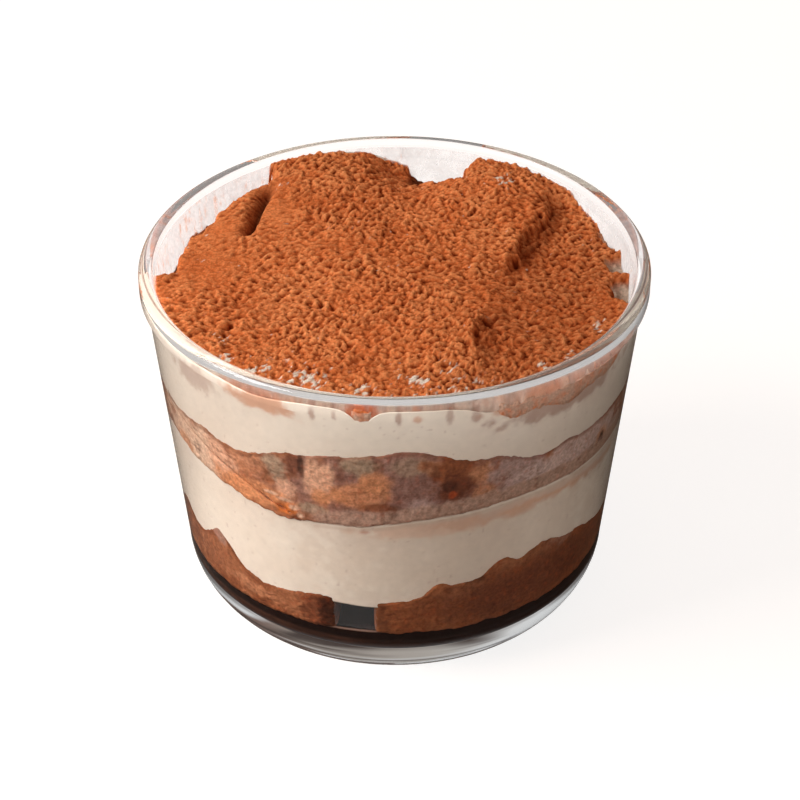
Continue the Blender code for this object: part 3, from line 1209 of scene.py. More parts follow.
class Powder:
    """The cocoa's loose grain: ridges, crumbs and pits on a square raster."""

    REACH = 42.0
    CELL = 0.17
    RIDGE_TURN = math.radians(58.0)
    RIDGE_STRETCH = 1.5
    BEND, BEND_SIZE = 0.7, 2.2
    CLUMPS = ((0.38, 1.5, 0.0), (0.26, 0.85, 3.0))
    ROUGHNESS, ROUGH_SIZE = 0.44, 1.0
    EVEN, UNEVEN, UNEVEN_SIZE = 0.8, 0.5, 7.0
    SWELL, SWELL_SIZE = 0.26, 4.5
    SUNK = 0.4
    GRAINS = 16000
    GRAIN_RADII = (0.14, 0.2, 0.26, 0.34)
    GRAIN_SUNK = 0.1
    SPREAD = 41.0
    DENTS = 420
    DENT_SPREAD = 40.0
    DENT_SIZES = (0.25, 0.55)
    BLUR = 4
    PITS = (
        Mound(-30.9, -8.8, 1.0, 0.6),
        Mound(-19.0, -9.4, 0.8, 0.6),
        Mound(-3.5, -9.7, 0.8, 0.6),
        Mound(-26.6, -16.7, 1.0, 0.7),
        Mound(-27.4, -19.4, 1.0, 0.7),
        Mound(-7.7, -24.0, 1.2, 0.6),
        Mound(10.4, 4.5, 1.1, 0.6),
        Mound(15.2, -15.4, 1.3, 1.0),
        Mound(13.4, -19.4, 1.2, 0.9),
        Mound(11.4, -22.6, 1.0, 0.9),
        Mound(20.6, 3.4, 0.9, 0.7),
    )

    def __init__(self, seed: int) -> None:
        """Lays the raster: first the ridges, then the loose grains and the pits."""
        self.count = int(2 * self.REACH / self.CELL) + 1
        line = np.linspace(-self.REACH, self.REACH, self.count)
        x, y = np.meshgrid(line, line, indexing="ij")
        rng = np.random.default_rng(seed)
        self.height = self.ridges(x, y, seed)
        for _ in range(self.GRAINS):
            self.stamp(*rng.uniform(-self.SPREAD, self.SPREAD, 2), rng.choice(self.GRAIN_RADII))
        for pit in self.PITS:
            self.height -= pit.rise * pit.share(x, y)
        for _ in range(self.DENTS):
            place = rng.uniform(-self.DENT_SPREAD, self.DENT_SPREAD, 2)
            self.dent(Mound(*place, *rng.uniform(*self.DENT_SIZES, 2)))
        self.hollow = self.height - self.blurred(self.height, self.BLUR)

    def ridges(self, x: np.ndarray, y: np.ndarray, seed: int) -> np.ndarray:
        """The powder's clumps and creases, drawn out along one slanting direction.

        Args:
            x: The cells' x.
            y: The cells' y.
            seed: The first of the seeds that are used.

        Returns:
            The height at each cell.
        """
        flat = np.stack([x.ravel(), y.ravel(), np.zeros(x.size)], axis=1)
        relief = [Relief(seed + k) for k in range(6)]
        cosine, sine = math.cos(self.RIDGE_TURN), math.sin(self.RIDGE_TURN)
        bent = flat + self.BEND * relief[5].at(flat, self.BEND_SIZE)[:, None]
        turned = bent.copy()
        turned[:, 0] = bent[:, 0] * cosine + bent[:, 1] * sine
        turned[:, 1] = (bent[:, 1] * cosine - bent[:, 0] * sine) * self.RIDGE_STRETCH
        clumps = sum(
            share * source.puffs(turned + shift, size)
            for source, (share, size, shift) in zip(relief, self.CLUMPS)
        )
        grain = self.ROUGHNESS * relief[2].rough(bent, self.ROUGH_SIZE, 4)
        uneven = self.EVEN + self.UNEVEN * relief[4].rough(flat, self.UNEVEN_SIZE, 2)
        swells = self.SWELL * relief[3].rough(flat, self.SWELL_SIZE, 3)
        return ((clumps + grain) * uneven + swells).reshape(x.shape) - self.SUNK

    def window(self, x: float, y: float, reach: float) -> tuple[slice, slice, np.ndarray]:
        """The cells round a place.

        Args:
            x: The place's x.
            y: The place's y.
            reach: How far the window reaches on each side.

        Returns:
            The rows, the columns, and each cell's squared distance from the place.
        """
        half = int(reach / self.CELL) + 1
        row = int((x + self.REACH) / self.CELL)
        column = int((y + self.REACH) / self.CELL)
        rows = slice(max(row - half, 0), min(row + half + 1, self.count))
        columns = slice(max(column - half, 0), min(column + half + 1, self.count))
        cells_x = np.arange(rows.start, rows.stop)[:, None] * self.CELL - self.REACH - x
        cells_y = np.arange(columns.start, columns.stop)[None, :] * self.CELL - self.REACH - y
        return rows, columns, cells_x**2 + cells_y**2

    def stamp(self, x: float, y: float, radius: float) -> None:
        """Sets one round grain of a radius on the powder."""
        rows, columns, away = self.window(x, y, radius)
        patch = self.height[rows, columns]
        dome = np.sqrt(np.clip(radius**2 - away, 0.0, None))
        grain = float(np.mean(patch)) - self.GRAIN_SUNK * radius + dome
        self.height[rows, columns] = np.where(dome > 0.0, np.maximum(patch, grain), patch)

    def dent(self, pit: Mound) -> None:
        """Presses one small pit into the powder."""
        rows, columns, away = self.window(pit.x, pit.y, 2.5 * pit.reach)
        self.height[rows, columns] -= pit.rise * np.exp(-away / pit.reach**2)

    @staticmethod
    def blurred(height: np.ndarray, half: int) -> np.ndarray:
        """The raster's mean over a square of half cells each way."""
        total = height
        for axis in (0, 1):
            parts = [np.roll(total, shift, axis) for shift in range(-half, half + 1)]
            total = np.mean(parts, axis=0)
        return total

    def read(self, raster: np.ndarray, x: np.ndarray, y: np.ndarray) -> np.ndarray:
        """Reads a raster between its cells.

        Args:
            raster: The raster.
            x: The places' x.
            y: The places' y.

        Returns:
            The raster's value at each place.
        """
        row = np.clip((x + self.REACH) / self.CELL, 0.0, self.count - 1.001)
        column = np.clip((y + self.REACH) / self.CELL, 0.0, self.count - 1.001)
        i, j = row.astype(int), column.astype(int)
        u, v = row - i, column - j
        near = raster[i, j] * (1.0 - v) + raster[i, j + 1] * v
        far = raster[i + 1, j] * (1.0 - v) + raster[i + 1, j + 1] * v
        return near * (1.0 - u) + far * u


@dataclass(frozen=True)
class Heap:
    """The heaped cocoa: mounds, a terrace on the right, a crevice, pockets at the wall."""

    vessel: Tumbler
    ceiling: float
    headroom: float = 0.15
    base: float = 61.9
    plug_foot: float = 54.6
    terrace_drop: float = 2.4
    terrace_x: float = 17.3
    terrace_lean: float = 0.2
    terrace_bend: tuple[float, float] = (0.42, 0.0095)
    terrace_wave: tuple[float, float] = (0.5, 2.3)
    raggedness: float = 1.3
    lip: float = 0.35
    crest_back: tuple[float, float] = (1.0, 23.5)
    crest_front: tuple[float, float] = (-24.5, -12.5)
    crevice_depth: float = 2.7
    crevice_x: float = -25.2
    crevice_ends: tuple[float, float] = (10.8, 24.5)
    crevice_widths: tuple[float, float] = (1.2, 0.45)
    thickness: float = 0.25
    front_angle: float = 74.0
    fringe: float = 0.22
    fringe_deep: float = 0.14
    least_side: float = 0.15
    side_bite: float = 0.3
    side_dust: float = 0.7
    pale_share: float = 0.26
    pale_patches: float = 0.35
    lit_crumbs: float = 2.6
    shaded_creases: float = 4.0
    sunk_shade_from: float = 2.9
    sunk_shade_over: float = 2.2
    pale_pocket_x: float = 34.0
    film_angles: tuple[float, float] = (14.0, 76.0)
    grid: int = 288
    side_steps: int = 6
    mounds: tuple[Mound, ...] = (
        Mound(-14.0, 29.0, 2.4, 13.0),
        Mound(18.0, 26.0, 2.2, 11.0),
        Mound(-26.0, 20.0, 1.1, 9.0),
        Mound(-6.0, 6.0, 1.3, 15.0),
        Mound(4.0, 31.0, -2.2, 6.5),
        Mound(1.8, 37.5, -2.8, 4.4),
        Mound(-22.0, -18.0, -0.5, 12.0),
        Mound(31.0, -8.0, -1.0, 9.0),
        Mound(12.0, -20.0, 0.5, 9.0),
    )
    pockets: tuple[Pocket, ...] = (
        Pocket(-102.0, 13.0, 37.2, 55.6),
        Pocket(-127.0, 18.0, 35.6, 57.2),
        Pocket(168.0, 8.5, 33.2, 55.8),
        Pocket(85.5, 5.5, 36.8, 56.4),
        Pocket(98.0, 4.5, 37.0, 57.4),
        Pocket(110.0, 9.0, 38.5, 58.2),
    )
    calm_places: tuple[Mound, ...] = (
        Mound(-31.5, 2.0, 0.75, 8.5),
        Mound(-30.0, 12.0, 0.8, 5.0),
        Mound(-20.5, 17.0, 0.8, 4.0),
        Mound(-21.0, 24.0, 0.7, 3.5),
    )
    bare_places: tuple[Mound, ...] = (
        Mound(-28.1, -21.1, 0.85, 1.6),
        Mound(-26.5, -26.5, 1.2, 1.5),
        Mound(-22.6, -30.2, 0.9, 2.2),
        Mound(-20.0, -28.8, 0.8, 1.6),
        Mound(-14.8, -32.2, 0.95, 2.4),
        Mound(-4.6, -35.9, 0.8, 2.0),
        Mound(3.8, -33.6, 1.15, 2.0),
        Mound(24.0, -27.8, 0.9, 1.8),
        Mound(28.7, -24.0, 0.8, 1.8),
        Mound(33.8, -14.0, 0.75, 1.4),
        Mound(-20.0, 24.7, 1.1, 1.0),
        Mound(-11.2, 39.0, 0.95, 1.2),
        Mound(19.0, 26.5, 0.8, 2.4),
        Mound(-16.0, -35.0, 0.55, 9.0),
        Mound(8.0, -36.0, 0.5, 8.0),
    )
    bare_swells: tuple[Swell, ...] = (
        Swell(-31, -0.5, 8),
        Swell(-7, -1.5, 3.0),
        Swell(28, -2.6, 5),
        Swell(43, -4.4, 9),
        Swell(57, -2.4, 6),
        Swell(100, -1.5, 12),
        Swell(150, -1.5, 12),
        Swell(-120, -1.5, 14),
    )

    def ragged(self, x: np.ndarray, y: np.ndarray) -> np.ndarray:
        """Random relief that breaks up the terrace's and the pockets' edges."""
        places = np.stack([x.ravel(), y.ravel(), np.full(x.size, 0.5)], axis=1)
        return Relief(5).rough(places, 1.9, 3).reshape(x.shape)

    def past_terrace(self, x: np.ndarray, y: np.ndarray, ragged: np.ndarray) -> np.ndarray:
        """How far each point lies to the right of the terrace's winding edge."""
        back = np.clip(y, 0.0, 26.0)
        outwards, inwards = self.terrace_bend
        swing, length = self.terrace_wave
        edge = self.terrace_x + self.terrace_lean * y + outwards * back - inwards * back**2
        return x - edge - swing * np.sin(y / length) - self.raggedness * ragged

    def crest(self, y: np.ndarray) -> np.ndarray:
        """How sharp the terrace's edge is: clear at the back, gone in the middle, broken in front."""
        back = step(y - self.crest_back[0], 2.2) * step(self.crest_back[1] - y, 1.8)
        front = step(y - self.crest_front[0], 1.5) * step(self.crest_front[1] - y, 1.5)
        return back + 0.5 * front

    def terrace(self, x: np.ndarray, y: np.ndarray, ragged: np.ndarray) -> np.ndarray:
        """The terrace's fall: a step along its crest, and a gentle slope past it."""
        past = self.past_terrace(x, y, ragged)
        crest = self.crest(y)
        steep = 0.5 * crest * step(past - 0.4, 0.6)
        gentle = 0.5 * step(past - 2.0, 3.5) * step(22.0 - y, 4.0)
        lip = self.lip * crest * np.exp(-(((past + 0.9) / 1.2) ** 2))
        return lip - self.terrace_drop * (steep + gentle)

    def top(self, x: np.ndarray, y: np.ndarray) -> np.ndarray:
        """The heap's height without its crumbs."""
        radius = np.hypot(x, y)
        azimuth = azimuth_of(x, y)
        ragged = self.ragged(x, y)
        height = np.full_like(radius, self.base)
        for mound in self.mounds:
            height += mound.rise * mound.share(x, y)
        height += self.terrace(x, y, ragged)
        height -= self.crevice_depth * self.crevice(x, y)
        for pocket in self.pockets:
            height += pocket.cut(radius, azimuth, height, ragged)
        return height

    def crevice(self, x: np.ndarray, y: np.ndarray) -> np.ndarray:
        """How deep each point lies in the crevice on the left, from 0 to 1."""
        past = np.clip(y - 10.0, 0.0, 20.0)
        middle = self.crevice_x + 0.17 * past + 0.004 * past**2
        ends = step(y - self.crevice_ends[0], 0.7) * step(self.crevice_ends[1] - y, 1.6)
        width = np.where(x < middle, *self.crevice_widths) + 0.03 * past
        return np.exp(-(np.abs((x - middle) / width) ** 1.7)) * ends

    def dip(self, x: np.ndarray, y: np.ndarray) -> np.ndarray:
        """How far the cocoa has run down the wall at each point's azimuth, as minus figures."""
        return Edge(0.0, self.bare_swells).line(azimuth_of(x, y))

    def covered(self, x: np.ndarray, y: np.ndarray) -> np.ndarray:
        """Where cream stands between the cocoa and the front wall, from 0 to 1."""
        front = step(self.front_angle - np.abs(azimuth_of(x, y)), 4.0)
        return front * step(self.dip(x, y) + 1.0, 0.25)

    def wall_foot(self, x: np.ndarray, y: np.ndarray) -> np.ndarray:
        """Where the cocoa ends at the wall: thin, but deep where it has run down."""
        thin = self.top(x, y) - self.thickness
        return thin + self.dip(x, y) + 0.3 * self.covered(x, y)

    def cream(self, x: np.ndarray, y: np.ndarray) -> np.ndarray:
        """The cream's top: level below the heap, and up to the cocoa's foot at the wall."""
        inset = 2.0 - 1.2 * self.covered(x, y)
        near = step(np.hypot(x, y) - self.vessel.inner(self.base) + inset, 0.4)
        return self.plug_foot + (self.wall_foot(x, y) - self.plug_foot) * near

    def disc(self) -> tuple[np.ndarray, np.ndarray]:
        """An even grid of square cells bent onto the unit disc."""
        line = np.linspace(-1.0, 1.0, self.grid + 1)
        a, b = np.meshgrid(line, line, indexing="ij")
        wide = np.abs(a) > np.abs(b)
        safe_a = np.where(a == 0.0, 1.0, a)
        safe_b = np.where(b == 0.0, 1.0, b)
        radius = np.where(wide, a, b)
        angle = np.where(wide, math.pi / 4 * b / safe_a, math.pi / 2 - math.pi / 4 * a / safe_b)
        return radius * np.cos(angle), radius * np.sin(angle)

    def liveliness(self, x: np.ndarray, y: np.ndarray) -> np.ndarray:
        """How crumbly the powder is, which is less on the smooth slopes at the left."""
        calm = np.zeros_like(x)
        for place in self.calm_places:
            calm = np.maximum(calm, place.rise * place.share(x, y))
        return 1.0 - calm

    def bareness(self, x: np.ndarray, y: np.ndarray) -> np.ndarray:
        """How bare of cocoa each point is, from 0 to 1, where the cream peeps through."""
        near = np.zeros_like(x)
        for place in self.bare_places:
            near = np.maximum(near, place.rise * place.share(x, y))
        flat = np.stack([x, y, np.zeros_like(x)], axis=1)
        slanted = flat @ np.array([[0.6, -0.8, 0.0], [0.8, 0.6, 0.0], [0.0, 0.0, 1.0]])
        slanted[:, 1] *= 2.0
        return step(Relief(31).rough(slanted, 1.1, 3) + near - 0.92, 0.07)

    def build(self, finish: bpy.types.Material) -> bpy.types.Object:
        """Builds the heap with its crumbs as one closed piece."""
        powder = Powder(21)
        unit_x, unit_y = (part.ravel() for part in self.disc())
        rim = float(self.vessel.inner(self.base))
        smooth = self.top(unit_x * rim, unit_y * rim)
        reach = self.vessel.inner(smooth) + 0.2 - 0.5 * self.covered(unit_x, unit_y)
        x, y = unit_x * reach, unit_y * reach
        smooth = self.top(x, y)
        lively = self.liveliness(x, y)
        bare = self.bareness(x, y)
        crumbs = powder.read(powder.height, x, y) * lively * (1.0 - 0.6 * bare)
        hollow = powder.read(powder.hollow, x, y) * lively
        room = (self.ceiling - smooth - crumbs) / self.headroom
        height = self.ceiling - self.headroom * np.logaddexp(0.0, room)
        top = np.stack([x, y, height], axis=1)
        tint = self.paint(x, y, smooth, hollow, bare)
        side = self.grid + 1
        index = np.arange(side * side).reshape(side, side)
        quads = [index[:-1, :-1], index[1:, :-1], index[1:, 1:], index[:-1, 1:]]
        faces = as_faces(np.stack(quads, axis=-1))
        sides = [index[:-1, 0], index[-1, :-1], index[:0:-1, -1], index[0, :0:-1]]
        border = np.concatenate(sides)
        points, border_faces, tints = self.closed_below(top, tint, border)
        piece = mesh_object("cocoa_heap", points, faces + border_faces, finish, tints)
        return dress(piece, "cocoa", "cocoa")

    def paint(
        self,
        x: np.ndarray,
        y: np.ndarray,
        smooth: np.ndarray,
        hollow: np.ndarray,
        bare: np.ndarray,
    ) -> np.ndarray:
        """The powder's colours: crumbs painted paler and creases darker as painted highlight and
        shade, painted shade on the terrace and in low places, and bare cream.

        Args:
            x: The points' x.
            y: The points' y.
            smooth: The heap's height at each point.
            hollow: How far each point stands over its neighbours.
            bare: How bare of cocoa each point is.

        Returns:
            A linear colour for each point.
        """
        flat = np.stack([x, y, np.zeros_like(x)], axis=1)
        patches = Relief(33).rough(flat, 5.0, 3)
        blots = Relief(34).rough(flat, 1.4, 3)
        tint = Tone.COCOA.over(x)
        # crumbs that stand over their neighbours are painted paler, a painted highlight, and creases
        # darker, a painted shade; the pale patches and blots are the powder's own tone
        pale = self.pale_share + self.pale_patches * patches + self.lit_crumbs * hollow
        tint = blend(tint, Tone.COCOA_PALE_AND_LIT, pale)
        tint = blend(tint, Tone.COCOA_DEEP_AND_SHADE, -self.shaded_creases * hollow - 0.05)
        tint = blend(tint, Tone.COCOA_DEEP_AND_SHADE, 0.5 * (-blots - 0.12))
        # the terrace past its crest painted darker, a painted shade
        tint = blend(tint, Tone.COCOA_DEEP_AND_SHADE, self.terrace_shade(x, y))
        # low ground in the pockets and the crevice painted dark, a painted shade
        sunk_shade = np.clip((self.base - self.sunk_shade_from - smooth) / self.sunk_shade_over, 0.0, 0.85)
        tint = blend(tint, Tone.COCOA_IN_SHADE, np.maximum(sunk_shade, 0.85 * self.crevice(x, y)))
        # on the right the sunk pockets are painted pale cream-grey instead, a painted brightness that
        # stands in for the lit wall seen through the gap
        pale_pockets = step(x - self.pale_pocket_x, 1.0) * np.clip(1.4 * sunk_shade, 0.0, 0.9)
        tint = blend(tint, Tone.CREAM_SHADE, pale_pockets)
        azimuth = azimuth_of(x, y)
        filmed = step(np.hypot(x, y) - self.vessel.inner(self.base) + 0.6, 0.15)
        filmed *= step(azimuth - self.film_angles[0], 3.0) * step(self.film_angles[1] - azimuth, 4.0)
        tint = blend(tint, Tone.DUST_FILM, 0.85 * filmed)
        return blend(tint, Tone.CREAM, bare)

    def terrace_shade(self, x: np.ndarray, y: np.ndarray) -> np.ndarray:
        """How much painted shade lies on the terrace past its edge, and most just below its crest."""
        past = self.past_terrace(x, y, self.ragged(x, y))
        shaded = 0.26 * step(past, 1.6) * step(12.0 - y, 6.0)
        return shaded + 0.55 * self.crest(y) * np.exp(-(((past - 1.9) / 1.9) ** 2))

    def closed_below(
        self, top: np.ndarray, tint: np.ndarray, border: np.ndarray
    ) -> tuple[np.ndarray, list[tuple[int, ...]], np.ndarray]:
        """Closes the heap down its side and across its underside.

        Args:
            top: The upper face's points.
            tint: Their colours.
            border: The upper face's rim, in order.

        Returns:
            All points, the faces below the upper face, and all colours.
        """
        count = len(border)
        radius = radius_of(top[border])
        sine, cosine = top[border, 0] / radius, top[border, 1] / radius
        wall = self.vessel.inner(self.base)
        round_wall = np.stack([WALL_REACH * sine, WALL_REACH * cosine, np.zeros(count)], axis=1)
        relief = Relief(8)
        high = top[border, 2]
        dip = self.dip(sine, cosine)
        fringe = (self.fringe - self.fringe_deep * dip) * relief.rough(round_wall, 1.4, 4)
        foot = self.wall_foot(wall * sine, wall * cosine) + fringe
        foot = np.minimum(foot, high - self.least_side)
        points, tints = [top], [tint]
        for k in range(1, self.side_steps + 1):
            height = high + (foot - high) * k / self.side_steps
            place = round_wall + np.array([0.0, 0.0, 1.0]) * height[:, None]
            bite = self.side_bite + 0.15 * relief.rough(place, 0.9, 3)
            bite -= 0.6 * self.covered(sine, cosine)
            reach = self.vessel.inner(height) + bite
            points.append(np.stack([reach * sine, reach * cosine, height], axis=1))
            dusty = self.side_dust + 0.8 * relief.rough(place, 0.8, 3) - 0.06 * dip
            tints.append(blend(Tone.COCOA.over(border), Tone.DUST_FILM, dusty))
        low = points[-1] * np.array([0.95, 0.95, 0.0])
        low[:, 2] = self.plug_foot
        points += [low, np.array([[0.0, 0.0, self.plug_foot]])]
        tints += [Tone.COCOA.over(border), Tone.COCOA.light[None, :]]
        rings = [border] + [len(top) + k * count + np.arange(count) for k in range(len(points) - 2)]
        faces: list[tuple[int, ...]] = []
        for upper, lower in zip(rings, rings[1:]):
            after = np.roll(upper, -1), np.roll(lower, -1)
            faces += as_faces(np.stack([after[0], upper, lower, after[1]], axis=1))
        middle = len(top) + (len(points) - 2) * count
        last = rings[-1]
        faces += [(middle, int(b), int(a)) for a, b in zip(last, np.roll(last, -1))]
        return np.concatenate(points), faces, np.concatenate(tints)


@dataclass(frozen=True)
class WallFilm:
    """The greasy film and cocoa dust on the inside of the glass, over the dessert."""

    vessel: Tumbler
    foot: float = 55.6
    head: float = 63.3
    around: int = 900
    rows: int = 26
    inset: float = 0.04
    thinnest: float = 0.1
    faint: float = 0.3
    patches: tuple[Swell, ...] = (
        Swell(-104, 0.34, 26),
        Swell(-135, 0.2, 16),
        Swell(100, 0.16, 20),
        Swell(172, 0.1, 16),
    )
    smears: tuple[Swell, ...] = (
        Swell(-52, 0.6, 26),
        Swell(-14, 0.66, 26),
        Swell(30, 0.66, 24),
        Swell(64, 0.5, 14),
    )
    smear_head: float = 62.4
    smear_foot: float = 60.2
    front_angle: float = 76.0
    stains: tuple[Stain, ...] = (
        Stain(-52, 60.6, 8.5, 2.6, Tone.SPONGE_FILM, 0.6),
        Stain(-31, 60.4, 9.5, 2.4, Tone.SPONGE_LUMP, 0.7),
        Stain(-18, 61.0, 0.9, 2.4, Tone.SPONGE_FILM, 0.7),
        Stain(-13, 61.0, 0.6, 2.0, Tone.SPONGE_FILM, 0.6),
        Stain(-7, 60.2, 3.6, 2.6, Tone.COCOA, 1.0),
        Stain(1, 60.8, 0.7, 2.3, Tone.SPONGE_FILM, 0.7),
        Stain(5, 61.2, 1.1, 1.2, Tone.SPONGE_LUMP, 0.6),
        Stain(12, 60.8, 0.8, 2.0, Tone.SPONGE_FILM, 0.6),
        Stain(18, 60.8, 1.2, 1.6, Tone.SPONGE_FILM, 0.6),
        Stain(43, 60.6, 20, 2.6, Tone.DUST_FILM, 0.75),
        Stain(34, 60.8, 6, 1.2, Tone.SPONGE_LUMP, 0.6),
    )

    def paint(self, points: np.ndarray, azimuth: np.ndarray) -> np.ndarray:
        """The film's colours, with its density as their alpha.

        Args:
            points: The film's points.
            azimuth: Each point's azimuth.

        Returns:
            A linear colour and a density for each point.
        """
        stretched = points * np.array([1.0, 1.0, 0.25])
        ragged = Relief(84).rough(stretched, 1.0, 3)
        haze = Edge(0.0, self.patches).line(azimuth)
        dust = step(Relief(83).rough(stretched, 0.8, 3) + 1.1 * haze - 0.78, 0.14)
        low = step(self.smear_head + 0.7 * ragged - points[:, 2], 0.25)
        low *= step(points[:, 2] - self.smear_foot, 0.4)
        smear = np.clip(Edge(0.0, self.smears).line(azimuth), 0.0, 0.9) * low
        share = np.clip(1.6 * smear, 0.0, 1.0)[:, None]
        dusty = blend(Tone.FILM.over(points), Tone.FILM_DUST, dust)
        creamy = blend(Tone.CREAM.over(points), Tone.CREAM_SHADE, 0.4 + 0.5 * ragged)
        creamy = stained(creamy, self.stains, azimuth, points[:, 2], ragged)
        cover = self.cover(points, stretched, azimuth, haze)
        density = np.maximum(np.clip(np.maximum(cover, 0.5 * dust), 0.0, 0.6), smear)
        return np.column_stack([dusty * (1.0 - share) + creamy * share, density])

    def cover(
        self, points: np.ndarray, stretched: np.ndarray, azimuth: np.ndarray, haze: np.ndarray
    ) -> np.ndarray:
        """How dense the mottled haze on the back of the wall is.

        Args:
            points: The film's points.
            stretched: The same points, drawn together in height.
            azimuth: Each point's azimuth.
            haze: How much denser the haze is round each azimuth.

        Returns:
            A density for each point, near zero along the front.
        """
        mottle = 0.15 * Relief(82).rough(points, 5.0, 3)
        mottle += 0.15 * Relief(81).rough(stretched, 1.6, 3)
        return (self.faint + haze + mottle) * step(np.abs(azimuth) - self.front_angle, 5.0)

    def build(self, finish: bpy.types.Material) -> bpy.types.Object:
        """Builds the film as a sheet just inside the wall, with holes where it is bare."""
        azimuth = np.linspace(-math.pi, math.pi, self.around, endpoint=False)
        heights = np.linspace(self.foot, self.head, self.rows)
        turn, height = np.meshgrid(azimuth, heights, indexing="ij")
        reach = self.vessel.inner(height) - self.inset
        points = np.stack([reach * np.sin(turn), -reach * np.cos(turn), height], axis=-1)
        flat = points.reshape(-1, 3)
        tint = self.paint(flat, np.degrees(turn).ravel())
        cells = np.arange(self.around * self.rows).reshape(self.around, self.rows)
        after = np.roll(cells, -1, axis=0)
        corners = [cells[:, :-1], cells[:, 1:], after[:, 1:], after[:, :-1]]
        quads = np.stack(corners, axis=-1).reshape(-1, 4)
        kept = quads[tint[:, 3][quads].max(axis=1) > self.thinnest]
        used, compact = np.unique(kept, return_inverse=True)
        faces = as_faces(compact.reshape(-1, 4))
        piece = mesh_object("film_on_the_wall", flat[used], faces, finish, tint[used])
        return dress(piece, "cocoa")


# ---------------------------------------------------------------- paint on the fillings


# bands along the ledge: a painted shade just below it, a film over the sponge's foot, and a thin pale
# cream line along it, a painted highlight
LEDGE = (
    Band(MID_UNDER, -1.0, -0.3, -20, 70, Tone.CREAM_SHADE, 0.55, 0.2),
    Band(MID_UNDER, 0.1, 3.3, -19, 75, Tone.LEDGE_FILM, 0.9, 0.25, 0.8),
    Band(MID_UNDER, 0.1, 0.7, -19, 75, Tone.SPONGE_FILM, 0.5, 0.15, 0.3),
    Band(MID_UNDER, -0.3, 0.12, -24, 75, Tone.CREAM, 0.8, 0.08, 0.05),
)
CREAM_STAINS = (
    Stain(20, 30.0, 40, 14.0, Tone.CREAM_SHADE, 0.35),
    Stain(-52, 58.6, 7.5, 2.8, Tone.SPONGE_FILM, 0.55),
    Stain(-31, 60.0, 9.5, 1.9, Tone.SPONGE_LUMP, 0.75),
    Stain(-18, 60.4, 0.9, 1.4, Tone.SPONGE_FILM, 0.7),
    Stain(-13, 60.6, 0.6, 1.0, Tone.SPONGE_FILM, 0.6),
    Stain(1, 60.3, 0.7, 1.3, Tone.SPONGE_FILM, 0.7),
    Stain(5, 60.6, 1.1, 0.8, Tone.SPONGE_LUMP, 0.6),
    Stain(12, 60.2, 0.8, 1.5, Tone.SPONGE_FILM, 0.6),
    Stain(18, 60.0, 1.2, 1.2, Tone.SPONGE_FILM, 0.6),
    Stain(43, 57.8, 19, 3.0, Tone.SPONGE_FILM, 0.75),
    Stain(27, 60.0, 6, 1.6, Tone.SPONGE_LUMP, 0.7),
    Stain(6, 36.6, 17, 1.7, Tone.SPONGE_GOLD, 0.3),
    Stain(-7, 36.2, 1.6, 0.5, Tone.SPONGE_EMBER, 0.4),
    Stain(32, 37.2, 22, 1.6, Tone.SPONGE_LUMP, 0.3),
    Band(MID_UNDER, -3.2, -1.9, 26, 70, Tone.SPONGE_GOLD, 0.45, 0.5, 0.9),
    Stain(60, 37.5, 10, 3.0, Tone.SPONGE_FILM, 0.3),
    *LEDGE,
)
